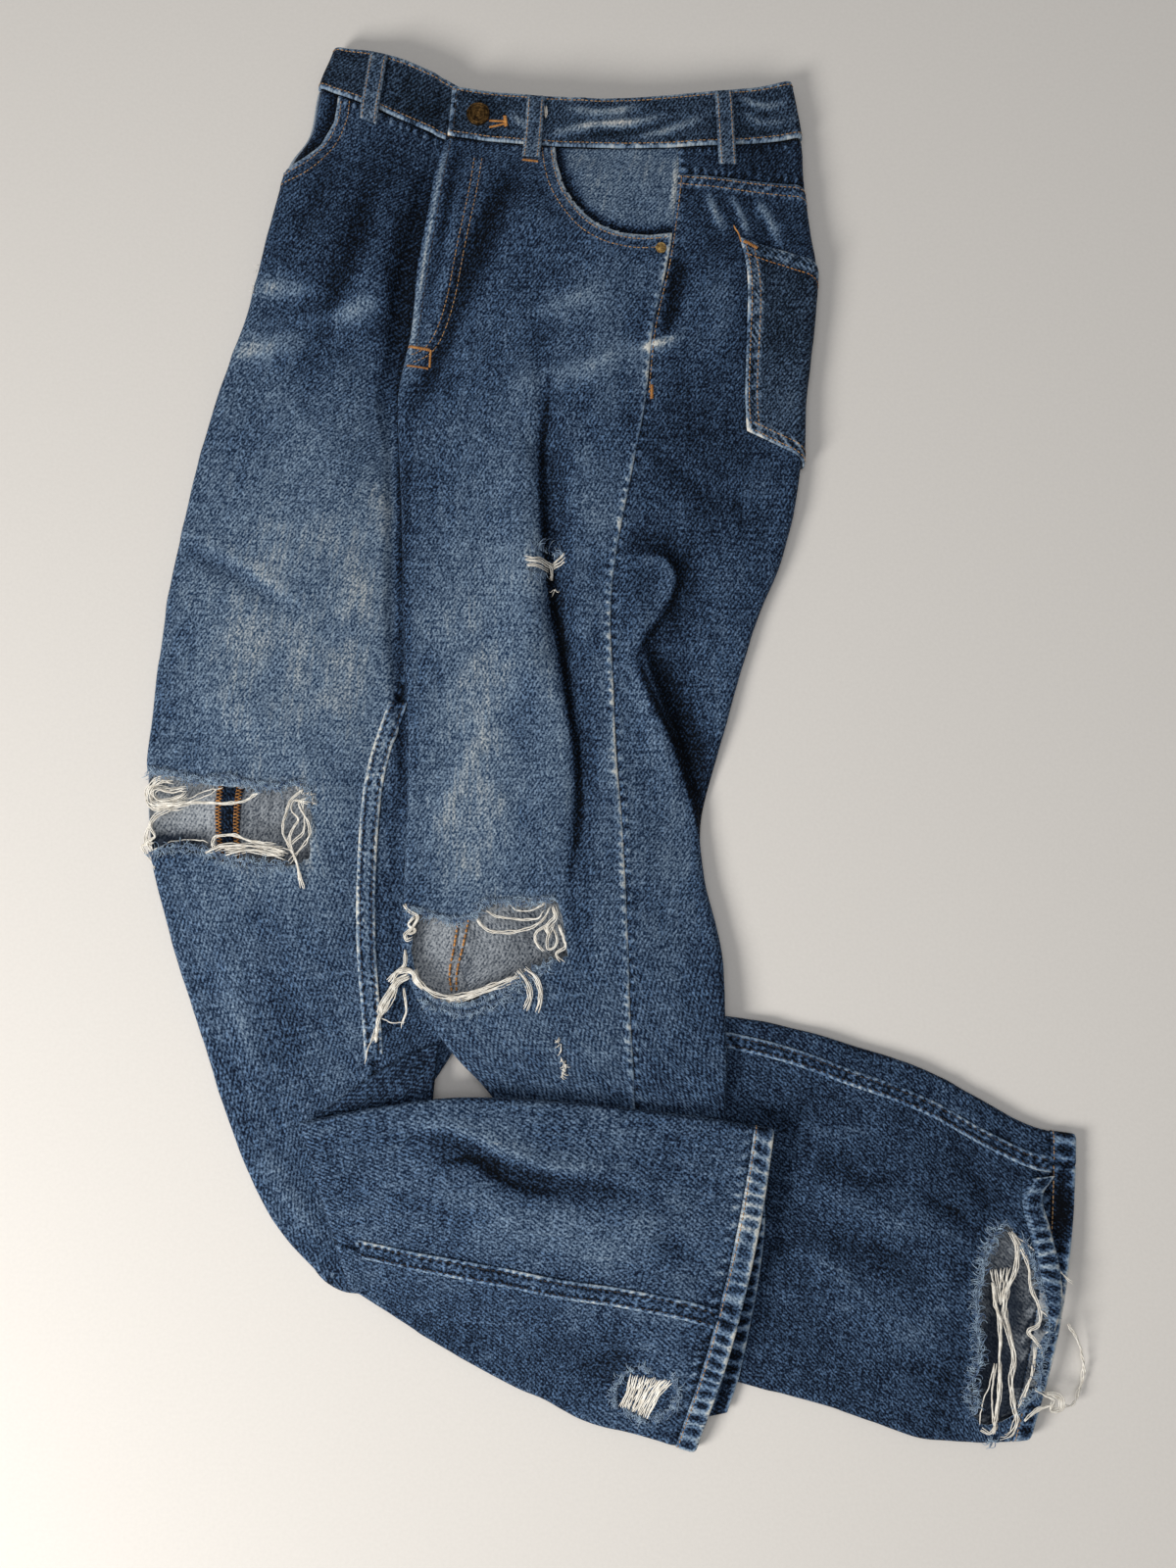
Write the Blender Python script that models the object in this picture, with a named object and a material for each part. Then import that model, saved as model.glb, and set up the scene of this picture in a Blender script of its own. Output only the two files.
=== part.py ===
"""Ripped jeans lying on a flat surface, front up, with both calves folded to the wearer's left.

Built in millimetres and written to the scene in metres: +X to the right of the layout,
+Y towards the waist, +Z up, the origin on the floor below the middle of the outline.
Each leg is a flattened tube. A table gives its sections, one row each, and every panel,
seam, hem and pocket is a stretch of that tube's own surface, between two seams.
"""

import math

import bpy
import numpy as np

MM = 0.001
CLOTH = 1.2  # one layer of denim
DOUBLE = 2.4  # waistband and hems, cloth turned over on itself
FELL = 1.4  # felled seam, pocket and belt loop cloth that lies on a panel
SEAM = 0.3  # gap that keeps two pieces apart where they are sewn
FLOOR = CLOTH / 2  # height of the middle of a layer that rests on the floor
TURNED = 38.0  # fly facing, and the left front's turn under its inner fold
FELL_WIDTH = 12.5
TUCK = 8.0  # the right leg is pressed down this far outside the left leg's edge
LIFT = 0.4  # further out for a band that bridges a panel's facets
POCKET_LIFT = 0.7

# One row for each section across a flattened leg. left and right are the outline's points,
# bow is how far the section's middle lies from the straight line, z_ are heights of the
# upper layer from left to right, and base_ are heights of the layer below it.
# Columns: left x, left y, right x, right y, bow, five heights of the top, three of the base.

RIGHT_LEG = np.array([
    (-198, 493, -96, 452, 6, 13, 17, 19, 19.5, 18.5, 1.3, 1.3, 1.3),
    (-209, 462, -92, 408, 0, 15, 19, 20.5, 20, 19.0, 1.3, 1.3, 1.3),
    (-215, 428, -94, 372, 0, 16, 22, 24, 23, 20.5, 0.6, 0.6, 0.6),
    (-230, 404, -98, 338, 0, 16, 22, 24, 22, 19.5, 0.6, 0.6, 0.6),
    (-242, 362, -106, 298, 0, 15, 20, 22, 19, 16.0, 0.6, 0.6, 0.6),
    (-259, 292, -112, 240, 0, 13, 17, 19, 14, 9.0, 0.6, 0.6, 0.6),
    (-277, 236, -112, 196, 0, 12, 15, 16, 9, 5.5, 0.6, 0.6, 0.6),
    (-291, 186, -90, 160, 0, 11, 14, 14, 6.5, 5, 0.6, 0.6, 0.6),
    (-304, 123, -60, 110, 0, 10, 13, 12, 5.5, 5, 0.6, 0.6, 0.6),
    (-312, 75, -52, 62, 0, 10, 13, 12, 5.5, 5, 0.6, 0.6, 0.6),
    (-318, 17, -62, 10, 0, 9.5, 13, 12, 5.5, 5, 0.6, 0.6, 0.6),
    (-322, -35, -74, -40, 0, 9.5, 13, 12, 5.5, 5, 0.6, 0.6, 0.6),
    (-318, -92, -82, -96, 0, 9.5, 13, 12, 5.5, 5, 0.6, 0.6, 0.6),
    (-301, -157, -88, -150, 0, 10, 13, 12, 5.5, 5, 0.6, 0.6, 0.6),
    (-284, -206, -92, -188, 0, 9, 10, 8, 5.5, 5, 0.6, 0.6, 0.6),
    (-265, -262, -100, -216, 0, 8.5, 8, 6, 5.5, 5, 0.6, 0.6, 0.6),
    (-245, -312, -120, -250, 0, 7.5, 6.5, 5.5, 5.5, 5, 0.6, 0.6, 0.6),
    (-222, -352, -152, -290, 0, 7, 6, 5.5, 5, 5, 0.6, 0.6, 0.6),
    (-184, -391, -158, -340, 0, 5.5, 5, 5, 5, 5, 0.6, 0.6, 0.6),
], float)
RIGHT_OUTSEAM_UNDER = (30, 30, 32, 35, 40, 45, 50, 52, 54, 55, 56, 56, 56, 54, 50, 46, 42, 40, 40)
RIGHT_FRONT_EDGE_X = (
    -96, -92, -94, -98, -106, -112, -113, -106, -113, -128,
    -147, -162, -167, -167, -164, -161, -162, -163, -163,
)
RIGHT_TURN_ROWS = range(9, 17)
SEAT_SAG = 14.0  # the back waist hangs lower in its middle
YOKE_DROP = (0.95, 1.2, 1.6)  # rows below the waist seam at side seam, outline, centre back

LEFT_LEG = np.array([
    (-112, 457, 134, 467, -15, 23, 25, 24, 22, 13.5, 19.8, 1.4, 3.4),
    (-115, 420, 141, 424, -13, 24, 26.5, 26, 23, 14.5, 21.0, 1.4, 3.4),
    (-121, 396, 142, 392, -6, 25, 30, 29, 25, 16, 22.4, 0.6, 2.8),
    (-128, 359, 147, 350, 0, 24, 31, 31, 26, 16.5, 21.4, 0.6, 2.8),
    (-135, 320, 150, 322, 0, 21, 29, 29, 26, 16.5, 18.4, 0.6, 2.8),
    (-139, 276, 146, 276, 0, 18, 26, 27, 24, 15.5, 13.0, 0.6, 2.8),
    (-148, 228, 140, 226, 0, 16, 23, 25, 21, 14, 8.5, 0.6, 2.8),
    (-146, 170, 137, 176, 0, 15.5, 21, 23, 19, 13, 7.5, 0.6, 2.8),
    (-144, 116, 124, 116, 0, 15, 20, 21, 17, 12, 7.5, 0.6, 0.6),
    (-143, 71, 106, 73, 0, 15, 19, 20, 15, 10, 7.5, 0.6, 0.6),
    (-140, 16, 90, 22, 0, 15, 19, 19, 13, 9, 7.5, 0.6, 0.6),
    (-138, -30, 77, -25, 0, 15, 18, 18, 13, 9, 7.5, 0.6, 0.6),
    (-139, -75, 65, -74, 0, 15, 17, 18, 15, 10, 7.5, 0.6, 0.6),
    (-140, -118, 67, -112, 0, 15, 17, 18, 16, 12, 7.5, 0.6, 0.6),
    (-141, -166, 78, -158, 0, 15, 17, 18, 17, 13, 7.5, 0.6, 0.6),
    (-126, -201, 80, -205, 0, 15, 17, 18, 17, 16, 7.5, 3, 8.5),
    (-109, -227, 81, -240, 0, 15, 17, 18, 18, 18, 7.5, 3, 11.5),
    (-84, -253, 79, -270, 0, 15, 17, 18, 18, 18, 8, 3, 11.5),
    (-62, -282, 78, -296, 0, 15, 17, 18, 18, 18, 8, 3, 11.5),
], float)
LEFT_SIDE_SEAM_X = (
    52, 51, 51, 47, 42, 32, 27, 17, 6, 2,
    4, 6, 10, 12, 14, 15, 17, 18, 19,
)
# Underneath, the left back ends at the centre back seam and, below the seat, at its inseam.
LEFT_UNDER_SEAM_X = (
    35, 35, 35, 33, 26, 12, -8, -30, -42, -104.7,
    -101.7, -99.7, -100.7, -101.7, -102.7, -87.7, -70.7, -45.7, -23.7,
)
SEAT_ROW = 8.0  # below this row the left leg lies on the right one
OVER_RIGHT = 7.5

# The calf sections run from the upper edge of the layout to the lower one.
RIGHT_CALF = np.array([
    (-209, -277, -175, -385, 0, 17.5, 19, 19, 18, 14, 12, 11.3, 8),
    (-165, -268, -139, -410, 0, 21, 23, 22, 17, 11, 15, 11, 2),
    (-109, -260, -105, -431, 0, 26, 28, 25, 18, 10, 20, 12, 0.6),
    (-60, -260, -69, -450, 0, 28, 30, 26, 18, 9, 21.1, 13, 0.6),
    (-10, -264, -42, -462, 0, 28, 30, 27, 18, 9, 21.1, 14, 0.6),
    (36, -269, -16, -475, 0, 28, 30, 27, 18, 9, 21.1, 14, 0.6),
    (75, -274, 20, -484, 3, 28, 29.5, 27, 20, 9, 21.1, 15, 0.6),
    (97, -278, 44, -491, 5, 27, 29, 26, 21, 9, 20.5, 15, 1.3),
    (111, -281, 58, -495, 6, 26, 28, 26, 21, 9.5, 19.5, 15, 1.3),
], float)
RIGHT_CALF_INSEAM = (82, 97, 111, 118, 122, 124, 126, 128, 130)
RIGHT_CALF_OUTSEAM = 70.0  # under the calf, from its upper edge

LEFT_CALF = np.array([
    (58, -204, 46, -438, 0, 7, 8.9, 9.3, 8.4, 5.2, 0.6, 0.6, 0.6),
    (106, -210, 93, -452, 0, 7, 9.2, 9.8, 8.7, 5.7, 0.6, 0.6, 0.6),
    (137, -217, 122, -459, 0, 7, 9.5, 10, 9, 6, 0.6, 0.6, 0.6),
    (167, -226, 150, -467, 0, 7, 9.5, 10.5, 9.5, 6.5, 0.6, 0.6, 0.6),
    (199, -236, 180, -477, 0, 7, 9.5, 11, 10, 7, 0.6, 0.6, 0.6),
    (229, -248, 208, -486, 0, 7, 9.5, 11, 10.5, 7.5, 0.6, 0.6, 0.6),
    (254, -262, 235, -489, 4, 7, 9, 11.5, 11, 8, 0.6, 0.6, 0.6),
    (290, -281, 262, -489, 7, 7, 9, 12, 11.5, 8.5, 1.3, 1.3, 1.3),
    (320, -287, 283, -487, 7, 7, 9.5, 12.5, 12, 9, 1.3, 1.3, 1.3),
], float)
LEFT_CALF_INSEAM = (13, 17, 19, 21, 22, 23, 24, 22, 20)
LEFT_CALF_OUTSEAM = 34.0  # under the calf, from its lower edge

# The folded flap where the right leg bends: outer fold, then the edge hidden below the calf.
BEND_FLAP = np.array([
    (-203, -277, -190, -290, 0, 10.2, 10.2, 10.2, 10.2, 10.2, 8, 8, 8),
    (-189, -266, -172, -291, 0, 11, 11, 11, 11, 11, 8, 8, 8),
    (-166, -250, -150, -287, 0, 12, 12, 12, 12, 12, 8, 8, 8),
    (-142, -235, -132, -282, 0, 12.5, 12.5, 12.5, 12.5, 12.5, 8, 8, 8),
    (-114, -223, -120, -274, 0, 12.5, 12.5, 12.5, 12.5, 12.5, 8, 8, 8),
], float)

# Main folds of the upper layer: from, to, half width, height (ridge above 0, trough below).
FOLDS = (
    (-46, 205, -36, 40, 11, -4.0),  # trough down the left thigh
    (-62, 190, -56, 20, 16, 3.0),  # soft ridge beside it
    (18, 118, 20, 52, 12, 3.5),  # hook above the knee
    (22, 45, 62, -80, 10, 4.0),  # knee rolls over the back of the thigh
    (60, 60, 84, -20, 14, -2.5),  # trough behind it
    (-95, 330, -125, 245, 14, 3.5),  # soft roll over the fly
    (-70, 360, 10, 330, 16, 2.5),  # hip whisker
    (-225, 360, -150, 300, 18, 2.5),  # right hip whisker
    (-240, 300, -165, 255, 16, -2.0),
    (62, 300, 128, 300, 18, 2.0),
    (-95, -277, 70, -300, 12, -2.5),  # long crease below the calf's upper fold
    (-120, -320, 40, -345, 20, 2.0),
    (130, -300, 210, -340, 18, 1.5),
    (-285, 20, -215, -10, 16, 2.0),  # above the right knee
)

# Rip outlines: a point for each bend of the torn edge.
RIGHT_KNEE_RIP = (
    (-345, -36), (-309, -38), (-273, -47), (-239, -48), (-211, -47), (-206, -60),
    (-206, -85), (-211, -101), (-256, -102), (-288, -93), (-318, -95), (-345, -96),
)
LEFT_KNEE_RIP = (
    (-133, -136), (-109, -140), (-90, -137), (-83, -129), (-48, -125), (-35, -128), (-28, -155),
    (-31, -166), (-60, -176), (-89, -193), (-112, -195), (-128, -182), (-134, -160),
)
LEFT_HEM_RIP = (
    (269, -346), (255, -362), (248, -395), (250, -424), (243, -452), (247, -474),
    (268, -474), (289, -448), (288, -431), (297, -405), (289, -379), (279, -355),
)
LEFT_POCKET_MOUTH = (
    (-39, 425), (-36, 396), (-31, 378), (-20, 360), (-8, 349), (8, 343), (30, 342), (55, 345), (60, 425),
)
RIGHT_POCKET_MOUTH = ((-193, 480), (-194, 450), (-196, 433), (-206, 415), (-229, 399), (-260, 392), (-260, 480))

# Left back pocket: rows it covers and how far in from the right outline its edges lie.
POCKET_TOP = (3.3, 3.9)
POCKET_BOTTOM = (6.43, 6.9)
POCKET_LEFT = (54, 40)
POCKET_UNDER = 52.0

# Belt loops: x and row of the foot, then of the head.
LOOPS = {
    "belt_loop_right": (-171, 1.35, -166, 0.03),
    "belt_loop_front": (-54, 1.55, -51, 0.03),
    "belt_loop_side": (86, 1.65, 83, 0.03),
}
LOOP_WIDTH = 12.0
LOOP_ARCH = 1.8
BUTTON_AT = (-92, 0.5)
BUTTON_RADIUS = 8.2
BUTTON_HEIGHT = 4.5
RIVET_AT = (38, 3.66)
RIVET_RADIUS = 3.8
RIVET_HEIGHT = 2.2
STUD_GAP = 0.5  # under a stud's flat foot, where the cloth curves


def clear_scene():
    for thing in list(bpy.data.objects):
        bpy.data.objects.remove(thing, do_unlink=True)


def smooth(t):
    t = min(1.0, max(0.0, t))
    return t * t * (3 - 2 * t)


def through(values, t):
    """The smooth curve through evenly spaced values, at t from 0 to len - 1."""
    values = np.asarray(values, float)
    last = len(values) - 1
    i = int(min(max(math.floor(t), 0), last - 1))
    f = t - i
    b, c = values[i], values[i + 1]
    a = values[i - 1] if i > 0 else 2 * b - c
    d = values[i + 2] if i + 2 <= last else 2 * c - b
    f = min(1.0, max(0.0, f))
    return b + 0.5 * f * (c - a + f * (2 * a - 5 * b + 4 * c - d + f * (3 * (b - c) + d - a)))


def across(heights, t):
    """A height between five across the leg, level at both edges."""
    a, b, c, d, e = heights
    return through((b, a, b, c, d, e, d), 1 + 4 * min(1.0, max(0.0, t)))


def fold_relief(x, y):
    total = 0.0
    for x0, y0, x1, y1, width, height in FOLDS:
        run_x, run_y = x1 - x0, y1 - y0
        length = math.hypot(run_x, run_y)
        along = ((x - x0) * run_x + (y - y0) * run_y) / length
        beside = ((x - x0) * run_y - (y - y0) * run_x) / length
        ends = smooth(0.5 + along / 36) * smooth(0.5 + (length - along) / 36)
        total += height * ends * math.exp(-((beside / width) ** 2))
    return total


def left_leg_edge(y):
    rows = LEFT_LEG[::-1]
    return float(np.interp(y, rows[:, 1], rows[:, 0]))


def left_leg_under(y):
    rows = LEFT_LEG[::-1]
    return float(np.interp(y, rows[:, 1], rows[:, 10]))


def right_leg_edge(y):
    rows = RIGHT_LEG[::-1]
    return float(np.interp(y, rows[:, 3], rows[:, 2]))


class Leg:
    """A flattened tube: turn is the way round it in millimetres, 0 at its left outline."""

    def __init__(self, table, closed_start=0.0, upright=1):
        self.table = table
        self.closed_start = closed_start
        self.upright = upright  # -1 where the turns run against the rows, seen from above

    def section(self, v):
        row = through(self.table, v)
        left = row[0:2]
        right = row[2:4]
        width = math.hypot(*(right - left))
        edge_left = (row[5] - self.base_edge(row, v, 0)) / 2
        edge_right = (row[9] - self.base_edge(row, v, 1)) / 2
        return row, left, right, width, edge_left, edge_right

    def base_edge(self, row, v, side):
        return row[12] if side else row[10]

    def top_turn(self, v, distance):
        """The turn of a point on the upper layer, this far in plan from the left outline."""
        _, _, _, _, e, _ = self.section(v)
        return math.pi * e / 2 + distance - e

    def under_left(self, v, distance):
        _, _, _, _, e, _ = self.section(v)
        return -(math.pi * e / 2 + distance - e)

    def half_turn(self, v):
        _, _, _, width, el, er = self.section(v)
        return math.pi * (el + er) / 2 + width - el - er

    def under_right(self, v, distance):
        _, _, _, _, _, e = self.section(v)
        return self.half_turn(v) + math.pi * e / 2 + distance - e

    def top_height(self, row, t, x, y, v):
        return across(row[5:10], t) + fold_relief(x, y) * smooth(4 * t) * smooth(4 * (1 - t))

    def base_height(self, row, f, x, y, v):
        left, middle, right = row[10:13]
        if f < 0.5:
            return left + (middle - left) * 2 * f
        return right + (middle - right) * (1 - (2 * f - 1) ** 3)

    def point(self, turn, v):
        row, left, right, width, el, er = self.section(v)
        half = math.pi * (el + er) / 2 + width - el - er
        way = (right - left) / width
        side = np.array((-way[1], way[0]))
        quarter_left = math.pi * el / 2
        quarter_right = math.pi * er / 2
        layer = 0
        if -quarter_left < turn < quarter_left:
            angle = turn / el
            distance = el * (1 - math.cos(angle))
            z = self.base_edge(row, v, 0) + el * (1 + math.sin(angle))
            layer = 2
        elif half - quarter_right < turn < half + quarter_right:
            angle = (half - turn) / er
            distance = width - er * (1 - math.cos(angle))
            z = self.base_edge(row, v, 1) + er * (1 + math.sin(angle))
            layer = 2
        elif turn <= -quarter_left:
            distance = el - turn - quarter_left
        elif turn >= half + quarter_right:
            distance = width - er - (turn - half - quarter_right)
        else:
            distance = el + turn - quarter_left
            layer = 1
        f = distance / width
        bow = row[4] * 4 * f * (1 - f) if 0 < f < 1 else 0.0
        x, y = left + way * distance + side * bow
        if layer == 1:
            z = self.top_height(row, (distance - el) / (width - el - er), x, y, v)
        elif layer == 0:
            from_left = turn < 0
            z = self.under_height(row, f, x, y, v, from_left)
        if self.closed_start:
            z = self.close(row, f, z, v)
        return np.array((x, y, z))

    def under_height(self, row, f, x, y, v, from_left):
        return self.base_height(row, f, x, y, v)

    def close(self, row, f, z, v):
        """Rounds the tube's start into a fold."""
        if v >= self.closed_start:
            return z
        middle = self.base_height(row, f, 0, 0, v) + 3.0
        return middle + (z - middle) * math.sqrt(max(0.0, 1 - (1 - v / self.closed_start) ** 2))

    def normal(self, turn, v):
        step = 0.4
        u = self.point(turn + step, v) - self.point(turn - step, v)
        last = len(self.table) - 1
        low, high = max(0.0, v - 0.02), min(float(last), v + 0.02)
        w = self.point(turn, high) - self.point(turn, low)
        n = np.cross(w, u) * self.upright
        return n / np.linalg.norm(n)


class RightLeg(Leg):
    def top_height(self, row, t, x, y, v):
        z = super().top_height(row, t, x, y, v)
        out = left_leg_edge(y) - x - TUCK
        cap = left_leg_under(y) - 2.5 + 0.7 * max(0.0, out)
        return min(z, cap)

    def base_height(self, row, f, x, y, v):
        return row[10]


class LeftLeg(Leg):
    def under_height(self, row, f, x, y, v, from_left):
        if from_left:
            return row[10]
        start = 20 * (1 - smooth((v - 9) / 3))
        lift = row[11] + (row[12] - row[11]) * smooth((x - start) / 45)
        over = OVER_RIGHT + (row[10] - OVER_RIGHT) * smooth((v - 15) / 2)
        step = smooth((right_leg_edge(y) + 45 - x) / 37) * smooth(v - SEAT_ROW)
        return lift + (over - FLOOR) * step


class BendFlap(Leg):
    def base_height(self, row, f, x, y, v):
        return row[10]


RIGHT = RightLeg(RIGHT_LEG)
LEFT = LeftLeg(LEFT_LEG)
CALF_R = Leg(RIGHT_CALF, closed_start=0.12, upright=-1)
CALF_L = Leg(LEFT_CALF, upright=-1)
FLAP = BendFlap(BEND_FLAP, upright=-1)


def plan_distance(leg, v, x):
    """How far along the section from its left outline the line at this x is crossed."""
    row, left, right, width, _, _ = leg.section(v)
    return width * (x - left[0]) / (right[0] - left[0])


def cloth(name, leg, rows, knots, counts, thickness=CLOTH, shift=0.0):
    """A wall along the leg. knots(v) gives turns, counts the steps between them."""
    grid = []
    normals = []
    fractions = []
    for k, count in enumerate(counts):
        fractions += [k + i / count for i in range(count)]
    fractions.append(float(len(counts)))
    total = float(len(counts))
    for row in rows:
        points = []
        ways = []
        for t in fractions:
            v = row(t / total) if callable(row) else row
            marks = knots(v)
            i = min(int(t), len(counts) - 1)
            turn = marks[i] + (marks[i + 1] - marks[i]) * (t - i)
            points.append(leg.point(turn, v))
            ways.append(leg.normal(turn, v))
        grid.append(points)
        normals.append(ways)
    return wall(name, np.array(grid), np.array(normals), thickness, shift)


def wall(name, grid, normals, thickness, shift=0.0):
    """A closed solid round a grid of points, half the thickness to each side of shift."""
    rows, columns = grid.shape[:2]
    outer = grid + normals * (shift + thickness / 2)
    inner = grid + normals * (shift - thickness / 2)
    points = np.concatenate((outer.reshape(-1, 3), inner.reshape(-1, 3)))
    half = rows * columns
    faces = []
    for i in range(rows - 1):
        for j in range(columns - 1):
            a, b = i * columns + j, i * columns + j + 1
            c, d = a + columns + 1, a + columns
            faces.append((a, b, c, d))
            faces.append((half + d, half + c, half + b, half + a))
    rim = [j for j in range(columns)]
    rim += [i * columns + columns - 1 for i in range(1, rows)]
    rim += [(rows - 1) * columns + j for j in range(columns - 2, -1, -1)]
    rim += [i * columns for i in range(rows - 2, 0, -1)]
    for a, b in zip(rim, rim[1:] + rim[:1]):
        faces.append((b, a, half + a, half + b))
    return solid(name, points, faces)


def solid(name, points, faces):
    points = np.asarray(points, float)
    volume = 0.0
    for face in faces:
        for k in range(1, len(face) - 1):
            a, b, c = points[face[0]], points[face[k]], points[face[k + 1]]
            volume += float(np.dot(a, np.cross(b, c)))
    if volume < 0:
        faces = [tuple(reversed(face)) for face in faces]
    mesh = bpy.data.meshes.new(name)
    mesh.from_pydata([tuple(p * MM) for p in points], [], faces)
    mesh.update()
    thing = bpy.data.objects.new(name, mesh)
    bpy.context.scene.collection.objects.link(thing)
    mesh.shade_smooth()
    mesh.set_sharp_from_angle(angle=math.radians(40))
    return thing


def cut(thing, outline, low, high):
    """Cuts a torn opening, or a pocket mouth, straight down through a panel."""
    count = len(outline)
    points = [(x, y, low) for x, y in outline] + [(x, y, high) for x, y in outline]
    faces = [tuple(range(count)), tuple(range(2 * count - 1, count - 1, -1))]
    for i in range(count):
        j = (i + 1) % count
        faces.append((j, i, count + i, count + j))
    cutter = solid(thing.name + "_cutter", points, faces)
    cutter.hide_render = True
    cutter.display_type = "WIRE"
    modifier = thing.modifiers.new("cut", "BOOLEAN")
    modifier.operation = "DIFFERENCE"
    modifier.object = cutter


def disc(name, centre, radius, height, dome, sides=16):
    """A turned stud with a stepped, slightly domed head."""
    profile = (
        (0.62 * radius, 0.0),
        (0.62 * radius, 0.35 * height),
        (radius, 0.4 * height),
        (radius, 0.75 * height),
        (0.86 * radius, height),
        (0.62 * radius, height),
        (0.5 * radius, height - dome),
    )
    points = []
    for r, z in profile:
        for k in range(sides):
            angle = 2 * math.pi * k / sides
            spot = (centre[0] + r * math.cos(angle), centre[1] + r * math.sin(angle), centre[2] + z)
            points.append(spot)
    faces = [tuple(range(sides - 1, -1, -1))]
    for ring in range(len(profile) - 1):
        for k in range(sides):
            j = (k + 1) % sides
            a, b = ring * sides + k, ring * sides + j
            faces.append((a, b, b + sides, a + sides))
    top = (len(profile) - 1) * sides
    faces.append(tuple(range(top, top + sides)))
    return solid(name, points, faces)


def value_at(table, v):
    return float(through(table, v))


def left_edge_distance(v):
    """How far along a right leg section the left leg's edge crosses it."""
    _, left, right, _, _, _ = RIGHT.section(v)
    slope = (right[1] - left[1]) / (right[0] - left[0])
    x = right[0]
    for _ in range(4):
        x = left_leg_edge(left[1] + (x - left[0]) * slope)
    return plan_distance(RIGHT, v, x)


def left_under_turn(v):
    """The turn at which the left back ends below: centre back seam, then inseam."""
    across_leg = plan_distance(LEFT, v, value_at(LEFT_UNDER_SEAM_X, v))
    return LEFT.under_right(v, LEFT.section(v)[3] - across_leg)


def seat_point(v, t):
    """A point of the layer on the floor, from the right outseam to where the left back begins."""
    outseam = RIGHT.point(RIGHT.under_left(v, value_at(RIGHT_OUTSEAM_UNDER, v) + SEAM / 2), v)
    _, _, _, width, _, edge = RIGHT.section(v)
    inner = RIGHT.point(RIGHT.under_left(v, width - edge - SEAM), v)
    if v < SEAT_ROW:
        seam = LEFT.point(left_under_turn(v), v) - (2 * SEAM, 0, 0)
        inner = seam + (inner - seam) * smooth(v - SEAT_ROW + 1)
    spot = outseam + (inner - outseam) * t
    spot[1] -= SEAT_SAG * 4 * t * (1 - t) * smooth(3 - v)
    return spot


def floor_grid(name, grid, thickness=CLOTH):
    grid = np.array(grid)
    down = np.zeros_like(grid)
    down[..., 2] = -1
    return wall(name, grid, down, thickness)


def floor_wall(name, rows):
    return floor_grid(name, [[seat_point(v, i / 6) for i in range(7)] for v in rows])


def right_leg_pieces():
    def front(v):
        inner = plan_distance(RIGHT, v, value_at(RIGHT_FRONT_EDGE_X, v)) - SEAM / 2
        edge = RIGHT.section(v)[4]
        tuck = min(left_edge_distance(v) - TUCK, inner - 4)
        return (
            RIGHT.under_left(v, value_at(RIGHT_OUTSEAM_UNDER, v) - SEAM / 2),
            -math.pi * edge / 2,
            math.pi * edge / 2,
            RIGHT.top_turn(v, tuck),
            RIGHT.top_turn(v, inner),
        )

    upper = [1.02, 1.5, 2, 2.6, 3.3, 4, 5, 6, 7, 8]
    rows = upper + [9, 10, 11, 12, 13, 14, 15, 16, 17, 17.9]
    panel = cloth("front_right", RIGHT, rows, front, (2, 4, 7, 1))
    cut(panel, RIGHT_KNEE_RIP, 2.6, 60)
    cut(panel, RIGHT_POCKET_MOUTH, -5, 60)

    def facing(v):
        inner = plan_distance(RIGHT, v, -178)
        edge = RIGHT.section(v)[4]
        return (
            RIGHT.under_left(v, value_at(RIGHT_OUTSEAM_UNDER, v) - SEAM / 2 - 2),
            -math.pi * edge / 2,
            math.pi * edge / 2,
            RIGHT.top_turn(v, inner),
        )

    cloth("pocket_facing_right", RIGHT, upper[:5], facing, (1, 4, 4), shift=-CLOTH - SEAM - LIFT)

    back_yoke = 1 + YOKE_DROP[2]
    floor_wall("back_right", [back_yoke + SEAM / 40] + rows[4:])
    floor_wall("yoke_right", [1.02, 1.5, 2, back_yoke])

    def turn_over(v):
        _, _, _, width, _, er = RIGHT.section(v)
        half = RIGHT.half_turn(v)
        inner = plan_distance(RIGHT, v, value_at(RIGHT_FRONT_EDGE_X, v)) + SEAM / 2
        return (
            RIGHT.top_turn(v, inner),
            RIGHT.top_turn(v, inner + FELL_WIDTH / 2 + 1),
            half - math.pi * er / 2,
            half + math.pi * er / 2,
        )

    cloth("back_right_turn", RIGHT, RIGHT_TURN_ROWS, turn_over, (1, 2, 4))

    def fell(v):
        centre = plan_distance(RIGHT, v, value_at(RIGHT_FRONT_EDGE_X, v))
        return (
            RIGHT.top_turn(v, centre - FELL_WIDTH / 2),
            RIGHT.top_turn(v, centre + FELL_WIDTH / 2),
        )

    raised = CLOTH / 2 + LIFT + 0.5
    cloth("inseam_right", RIGHT, range(10, 16), fell, (2,), thickness=1.0, shift=raised)


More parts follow.
